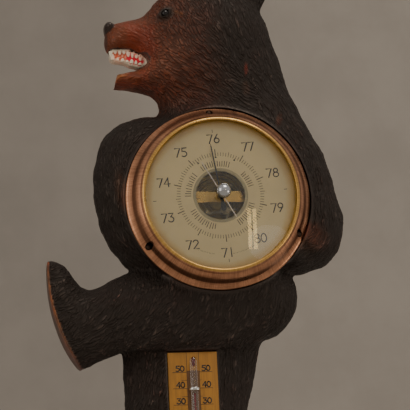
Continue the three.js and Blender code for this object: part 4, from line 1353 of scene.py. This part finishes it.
class MakeBezel(bpy.types.Operator):
    """Make the copper-coloured bezel, its three screws and the domed glass"""
    bl_idname = "bear.bezel"
    bl_label = "Bezel and glass"

    def execute(self, context):
        s = context.scene.barometer
        seat = SEAT["out"] + GAP
        profile = [(50, seat), (50, 36.2), (49.6, 36.7), (48.9, 37.2), (47.6, 38.5), (46.8, 39.5),
                   (46.3, 40.8), (45.8, 42.2), (45.2, 43.5), (44.4, 44.6), (43.6, 45.4), (43.0, 45.95),
                   (42.5, 46.9), (41.8, 47.7), (41, 48), (40.45, 47.75), (40.45, 47.3), (41.9, 46.3),
                   (43, 44.8), (43, 41), (45, 40.3), (48.9, 36.1), (49, seat)]
        # The inner lip's golden tone is a painted reflection of the dial.
        lip = (42.1, (0.56, 0.33, 0.10))
        copper = metal("aged copper plate", s.copper, 0.31, 0.35, brushed=True, lip=lip)
        band = turned("bezel", rounded(profile, 0.35, 3), s.segments)
        places = [(x, z) for x, _, z in map(middle_of, SCREWS)]
        for place in places:
            band = cut_away(band, turned("hole", plug(1.95, 30, 50), 32, place), "EXACT")
        add_piece("bezel_copper", band, copper, BODY, ["bezel"], sharp=35)

        dark = metal("dark screw steel", (0.055, 0.034, 0.024), 0.45, 0.4)
        head = [(0, 25.9), (1.1, 26.9), (1.1, 35.4), (1.62, 36.6), (1.62, 37.5), (1.3, 37.95), (0.7, 38.2),
                (0, 38.25)]
        screw = turned("screw", rounded(head, 0.12, 2), 28)
        screw.transform(Matrix.Translation(-AXIS))
        ring = ring_tree()
        for name, (x, z) in zip(SCREWS, places):
            one = grown(ring, screw.copy(), {
                "Count": 1, "Radius": math.hypot(x, z) * MM, "Start": math.atan2(x, z), "Finish": dark})
            add_piece(f"{name}_turned", one, dark, BODY, [name])
        bpy.data.meshes.remove(screw)

        dome = [(r, GLASS["edge"] + GLASS["rise"] * (1 - (r / GLASS["r"]) ** 2))
                for r in np.linspace(GLASS["hole"], GLASS["r"], 26)]
        under = [(r, out - GLASS["thick"]) for r, out in dome]
        add_piece("barometer_glass_domed", turned("glass", under + dome[::-1], s.segments),
                  clear_glass("clear domed glass"), BODY, ["barometer_glass"])
        return {"FINISHED"}


# The thermometer


class MakeThermometer(bpy.types.Operator):
    """Make the scale plate with its print, the glass tube with its filling, and the two clips"""
    bl_idname = "bear.thermometer"
    bl_label = "Thermometer"

    def execute(self, context):
        s = context.scene.thermometer
        ink = printed("scale ink", (0.012, 0.010, 0.008))
        low, high = box_of("thermometer_plate")
        front, back = low[1], high[1]
        bottom, top = low[2], high[2]
        middle = (low[0] + high[0]) / 2
        outline = [(low[0], bottom), (high[0], bottom), (high[0], top), (low[0], top)]
        strip = 3.3
        add_piece("thermometer_plate_varnished", plate_of("plate", outline, front, front - back, 0, 0.35),
                  varnished_plate(s, strip), BODY, ["thermometer_plate"])

        thick = 0.04
        step = s.decade
        first = top - 10.5
        decades = 9
        rows = row_tree()
        meshes = []
        for side in (-1, 1):
            lines = ((decades, step, 6.8 if side > 0 else 7.6, 0.26, 0.0),
                     (decades, step, 1.2 if side > 0 else 3.0, 0.2, 0.5))
            for count, pitch, wide, high_line, offset in lines:
                x = middle + side * (strip + wide / 2)
                meshes.append(grown(rows, mark(wide, high_line, front, thick), {
                    "Count": count, "Across": AXIS.x + x * MM, "Step": pitch,
                    "Top": AXIS.z + first * MM - pitch * offset, "Finish": ink}))
            for k in range(decades):
                value = abs(50 - 10 * k)
                x, z = middle + side * 6.9, first - k * step / MM + 1.95
                meshes += number(str(value), x, z, 2.7, 0.6, 0, front + thick, thick, 0.72)
        add_piece("thermometer_print", joined("print", meshes), ink, BODY, sharp=0)

        low, high = box_of("thermometer_tube")
        out, r, bulb = (low[1] + high[1]) / 2, 1.85, (high[0] - low[0]) / 2
        bottom, top = low[2], high[2]

        def along_tube(name, profile, segments=40):
            angles = [2 * math.pi * k / segments for k in range(segments)]
            return wrapped(name, [
                [spot(middle + radius * math.sin(t), out + radius * math.cos(t), z) for t in angles]
                if radius > POLE else [spot(middle, out, z)] for radius, z in profile])

        wall = [(0, top), (r * 0.45, top - 0.15), (r * 0.8, top - 0.7), (r * 0.97, top - 1.5),
                (r, top - 2.2), (r, bottom + 9), (r * 1.04, bottom + 7), (bulb * 0.97, bottom + 5.2),
                (bulb, bottom + 4), (bulb, bottom + 2.4), (bulb * 0.86, bottom + 0.9),
                (bulb * 0.5, bottom + 0.2), (0, bottom)]
        add_piece("thermometer_tube_glass", along_tube("tube", wall), clear_glass("clear tube glass"),
                  BODY, ["thermometer_tube"], sharp=0)
        fill = [(0, bottom + 62), (0.34, bottom + 61.8), (0.36, bottom + 61), (0.36, bottom + 8),
                (0.8, bottom + 6.4), (bulb - 0.6, bottom + 4.6), (bulb - 0.6, bottom + 2.4),
                (bulb * 0.45, bottom + 1.0), (0, bottom + 0.8)]
        f = Finish("red spirit", {"Roughness": 0.25})
        f.set({"Base Color": f.mix(f.noise(f.cells((3, 3, 6))), tuple(s.spirit), shade(s.spirit, 0.6))})
        add_piece("thermometer_spirit", along_tube("spirit", fill, 20), f.material, BODY,
                  sharp=0)
        # A dark red plug in the top of the tube, a painted stand-in for the red refraction seen there.
        cap = [(0, top - 0.5), (0.6, top - 0.9), (0.75, top - 2.0), (0.5, top - 4.6), (0, top - 5.4)]
        f = Finish("dark red painted refraction", {"Roughness": 0.2})
        refraction_mottle = f.noise(f.cells((2, 2, 2)))
        f.set({"Base Color": f.mix(refraction_mottle, (0.17, 0.014, 0.014), (0.06, 0.005, 0.006))})
        add_piece("thermometer_painted_refraction", along_tube("painted_refraction_plug", cap, 20), f.material, BODY,
                  sharp=0)

        bright = metal("bright clip wire", (0.62, 0.60, 0.56), 0.2, 0.2)
        round_wire = [(math.cos(t), math.sin(t)) for t in np.linspace(0, 2 * math.pi, 13)[:-1]]
        for name in ("tube_clip_upper", "tube_clip_lower"):
            low, high = box_of(name)
            z, half, foot = (low[2] + high[2]) / 2, (high[2] - low[2]) / 2, high[1]
            inner, outer = 2.15, (high[0] - low[0]) / 2
            section = [((inner + outer) / 2 + c * (outer - inner) / 2, z + d * half) for c, d in round_wire]
            # Each ring has its turn round the tube and, for the two feet, how far out it lies
            path = [(math.pi, foot), *((t, None) for t in np.linspace(math.pi, 0, 25)), (0, foot)]
            rings = [[spot(middle + reach * math.cos(t),
                           out + reach * math.sin(t) if at is None else at, up)
                      for reach, up in section] for t, at in path]
            add_piece(f"{name}_wire", wrapped(name, rings, capped=True), bright, BODY,
                      [name])
        return {"FINISHED"}


# The stage


# Area lights aimed at the dial: name, place, power, size, tint and, where it isn't a rectangle, shape
LIGHTS = [
    ("key", (0.6, -1.3, 2.0), 30.0, (1.4, 1.2), (1.0, 0.94, 0.85)),
    ("left fill", (-2.0, -1.1, 0.2), 11.0, (1.2, 1.6), (1.0, 0.94, 0.86)),
    ("low right", (2.0, -0.8, -0.9), 9.5, (0.55, 0.7), (1.0, 0.92, 0.82)),
    ("low front", (-0.2, -1.3, -1.5), 3.5, (1.6, 0.8), (1.0, 0.92, 0.84)),
    ("left pane", (0.5625, -1.9, 0.0), 0.23, (0.036, 0.39), (1.0, 0.66, 0.22)),
    ("right pane", (0.6175, -1.9, 0.0), 0.23, (0.036, 0.39), (1.0, 0.66, 0.22)),
    ("bright room", (0.77, -1.9, -0.14), 0.30, (0.46, 0.46 * 0.8), (1.0, 0.95, 0.88), "ELLIPSE"),
    ("bright room", (0.77, -1.9, -0.14), 0.20, (0.34, 0.34 * 0.8), (1.0, 0.95, 0.88), "ELLIPSE"),
    ("bright room", (0.77, -1.9, -0.14), 0.12, (0.22, 0.22 * 0.8), (1.0, 0.95, 0.88), "ELLIPSE"),
]
ROOM_LIGHT, ROOM_TINT = 0.55, (1.0, 0.95, 0.88, 1.0)
# The photo's camera: turns in degrees, distance and aim in millimetres from the dial's axis
CAMERA = {"lens": 132.8, "film": 36.0, "azimuth": -8.71, "elevation": -12.67, "roll": -2.75,
          "distance": 800.0, "aim": (-8.58, 43.0, -5.14)}


def light(name, place, power, size, tint, shape="RECTANGLE"):
    lamp = bpy.data.lights.new(name, "AREA")
    lamp.energy = power
    lamp.color = tint
    lamp.shape = shape
    lamp.size, lamp.size_y = size
    made = linked(name, lamp)
    made.location = place
    made.rotation_euler = (AXIS - Vector(place)).to_track_quat("-Z", "Y").to_euler()


def sheet(name, corners, finish):
    bm = bmesh.new()
    bm.faces.new([bm.verts.new(c) for c in corners])
    mesh = bpy.data.meshes.new(name)
    bm.to_mesh(mesh)
    bm.free()
    mesh.materials.append(finish)
    linked(name, mesh)


def paper(name, tint, rough, left_shade_factor=1.0):
    """Mottled paper, with a painted shadow that darkens it towards the left."""
    f = Finish(name, {"Roughness": rough})
    cloud = f.noise(f.cells((160, 160, 160)), 4.0, 0.6)
    across = f.node("ShaderNodeSeparateXYZ", {0: f.cells((1, 1, 1))}).outputs["X"]
    mottled = f.mix(f.ramp(cloud, 0.3, 0.7), tuple(tint), shade(tint, 0.88))
    f.set({"Base Color": f.mix(f.ramp(across, 450, 0), mottled, (left_shade_factor, left_shade_factor, left_shade_factor), "MULTIPLY")})
    return f.material


class MakeStage(bpy.types.Operator):
    """Set the floor, the backdrop, the lights and the camera"""
    bl_idname = "bear.stage"
    bl_label = "Stage"

    def execute(self, context):
        s = context.scene.stage
        floor_z = CAD_BOX[0][2] - s.floor_drop
        wide, near, far = 6.0, -4, s.wall_back + 1
        sheet("floor", [(-wide, near, floor_z), (wide, near, floor_z), (wide, far, floor_z),
                        (-wide, far, floor_z)], paper("pale floor", s.floor, 0.8))
        # The backdrop carries a painted shadow towards the left.
        sheet("backdrop", [(-wide, s.wall_back, -3), (wide, s.wall_back, -3), (wide, s.wall_back, 4),
                           (-wide, s.wall_back, 4)], paper("warm grey backdrop", s.backdrop, 0.9, 0.80))
        world = bpy.data.worlds.new("soft room light")
        world.use_nodes = True
        background = world.node_tree.nodes["Background"]
        background.inputs[0].default_value = ROOM_TINT
        background.inputs[1].default_value = ROOM_LIGHT
        context.scene.world = world
        for lamp in LIGHTS:
            light(*lamp)

        camera = bpy.data.cameras.new("camera")
        camera.lens = CAMERA["lens"]
        camera.sensor_width = CAMERA["film"]
        made = linked("camera", camera)
        azimuth, elevation, roll = (math.radians(CAMERA[turn]) for turn in ("azimuth", "elevation", "roll"))
        back = Vector((math.sin(azimuth) * math.cos(elevation), -math.cos(azimuth) * math.cos(elevation),
                       math.sin(elevation)))
        right = Vector((0, 0, 1)).cross(back).normalized()
        up = back.cross(right)
        side = right * math.cos(roll) + up * math.sin(roll)
        rise = up * math.cos(roll) - right * math.sin(roll)
        place = spot(*CAMERA["aim"]) + back * CAMERA["distance"] * MM
        made.matrix_world = Matrix((
            (side.x, rise.x, back.x, place.x), (side.y, rise.y, back.y, place.y),
            (side.z, rise.z, back.z, place.z), (0, 0, 0, 1)))
        context.scene.camera = made
        return {"FINISHED"}


# Add-on registration


MAKERS = (MakeStage, MakeCarving, MakeEye, MakeWorks, MakeDial, MakeHands, MakeBezel, MakeThermometer)


class BearPanel(bpy.types.Panel):
    """The makers of the bear barometer's pieces"""
    bl_idname = "VIEW3D_PT_bear"
    bl_label = "Bear barometer"
    bl_space_type = "VIEW_3D"
    bl_region_type = "UI"
    bl_category = "Bear"

    def draw(self, context):
        for maker in MAKERS:
            self.layout.operator(maker.bl_idname)


SETTINGS = {"bear": BearSettings, "barometer": BarometerSettings, "thermometer": ThermometerSettings,
            "stage": StageSettings}


def register():
    for kind in (*SETTINGS.values(), *MAKERS, BearPanel):
        bpy.utils.register_class(kind)
    for name, kind in SETTINGS.items():
        setattr(bpy.types.Scene, name, PointerProperty(type=kind))


def unregister():
    for name in SETTINGS:
        delattr(bpy.types.Scene, name)
    for kind in (BearPanel, *reversed(MAKERS), *reversed(SETTINGS.values())):
        bpy.utils.unregister_class(kind)


def main():
    register()
    for maker in MAKERS:
        group, name = maker.bl_idname.split(".")
        getattr(getattr(bpy.ops, group), name)()


if __name__ == "__main__":
    main()
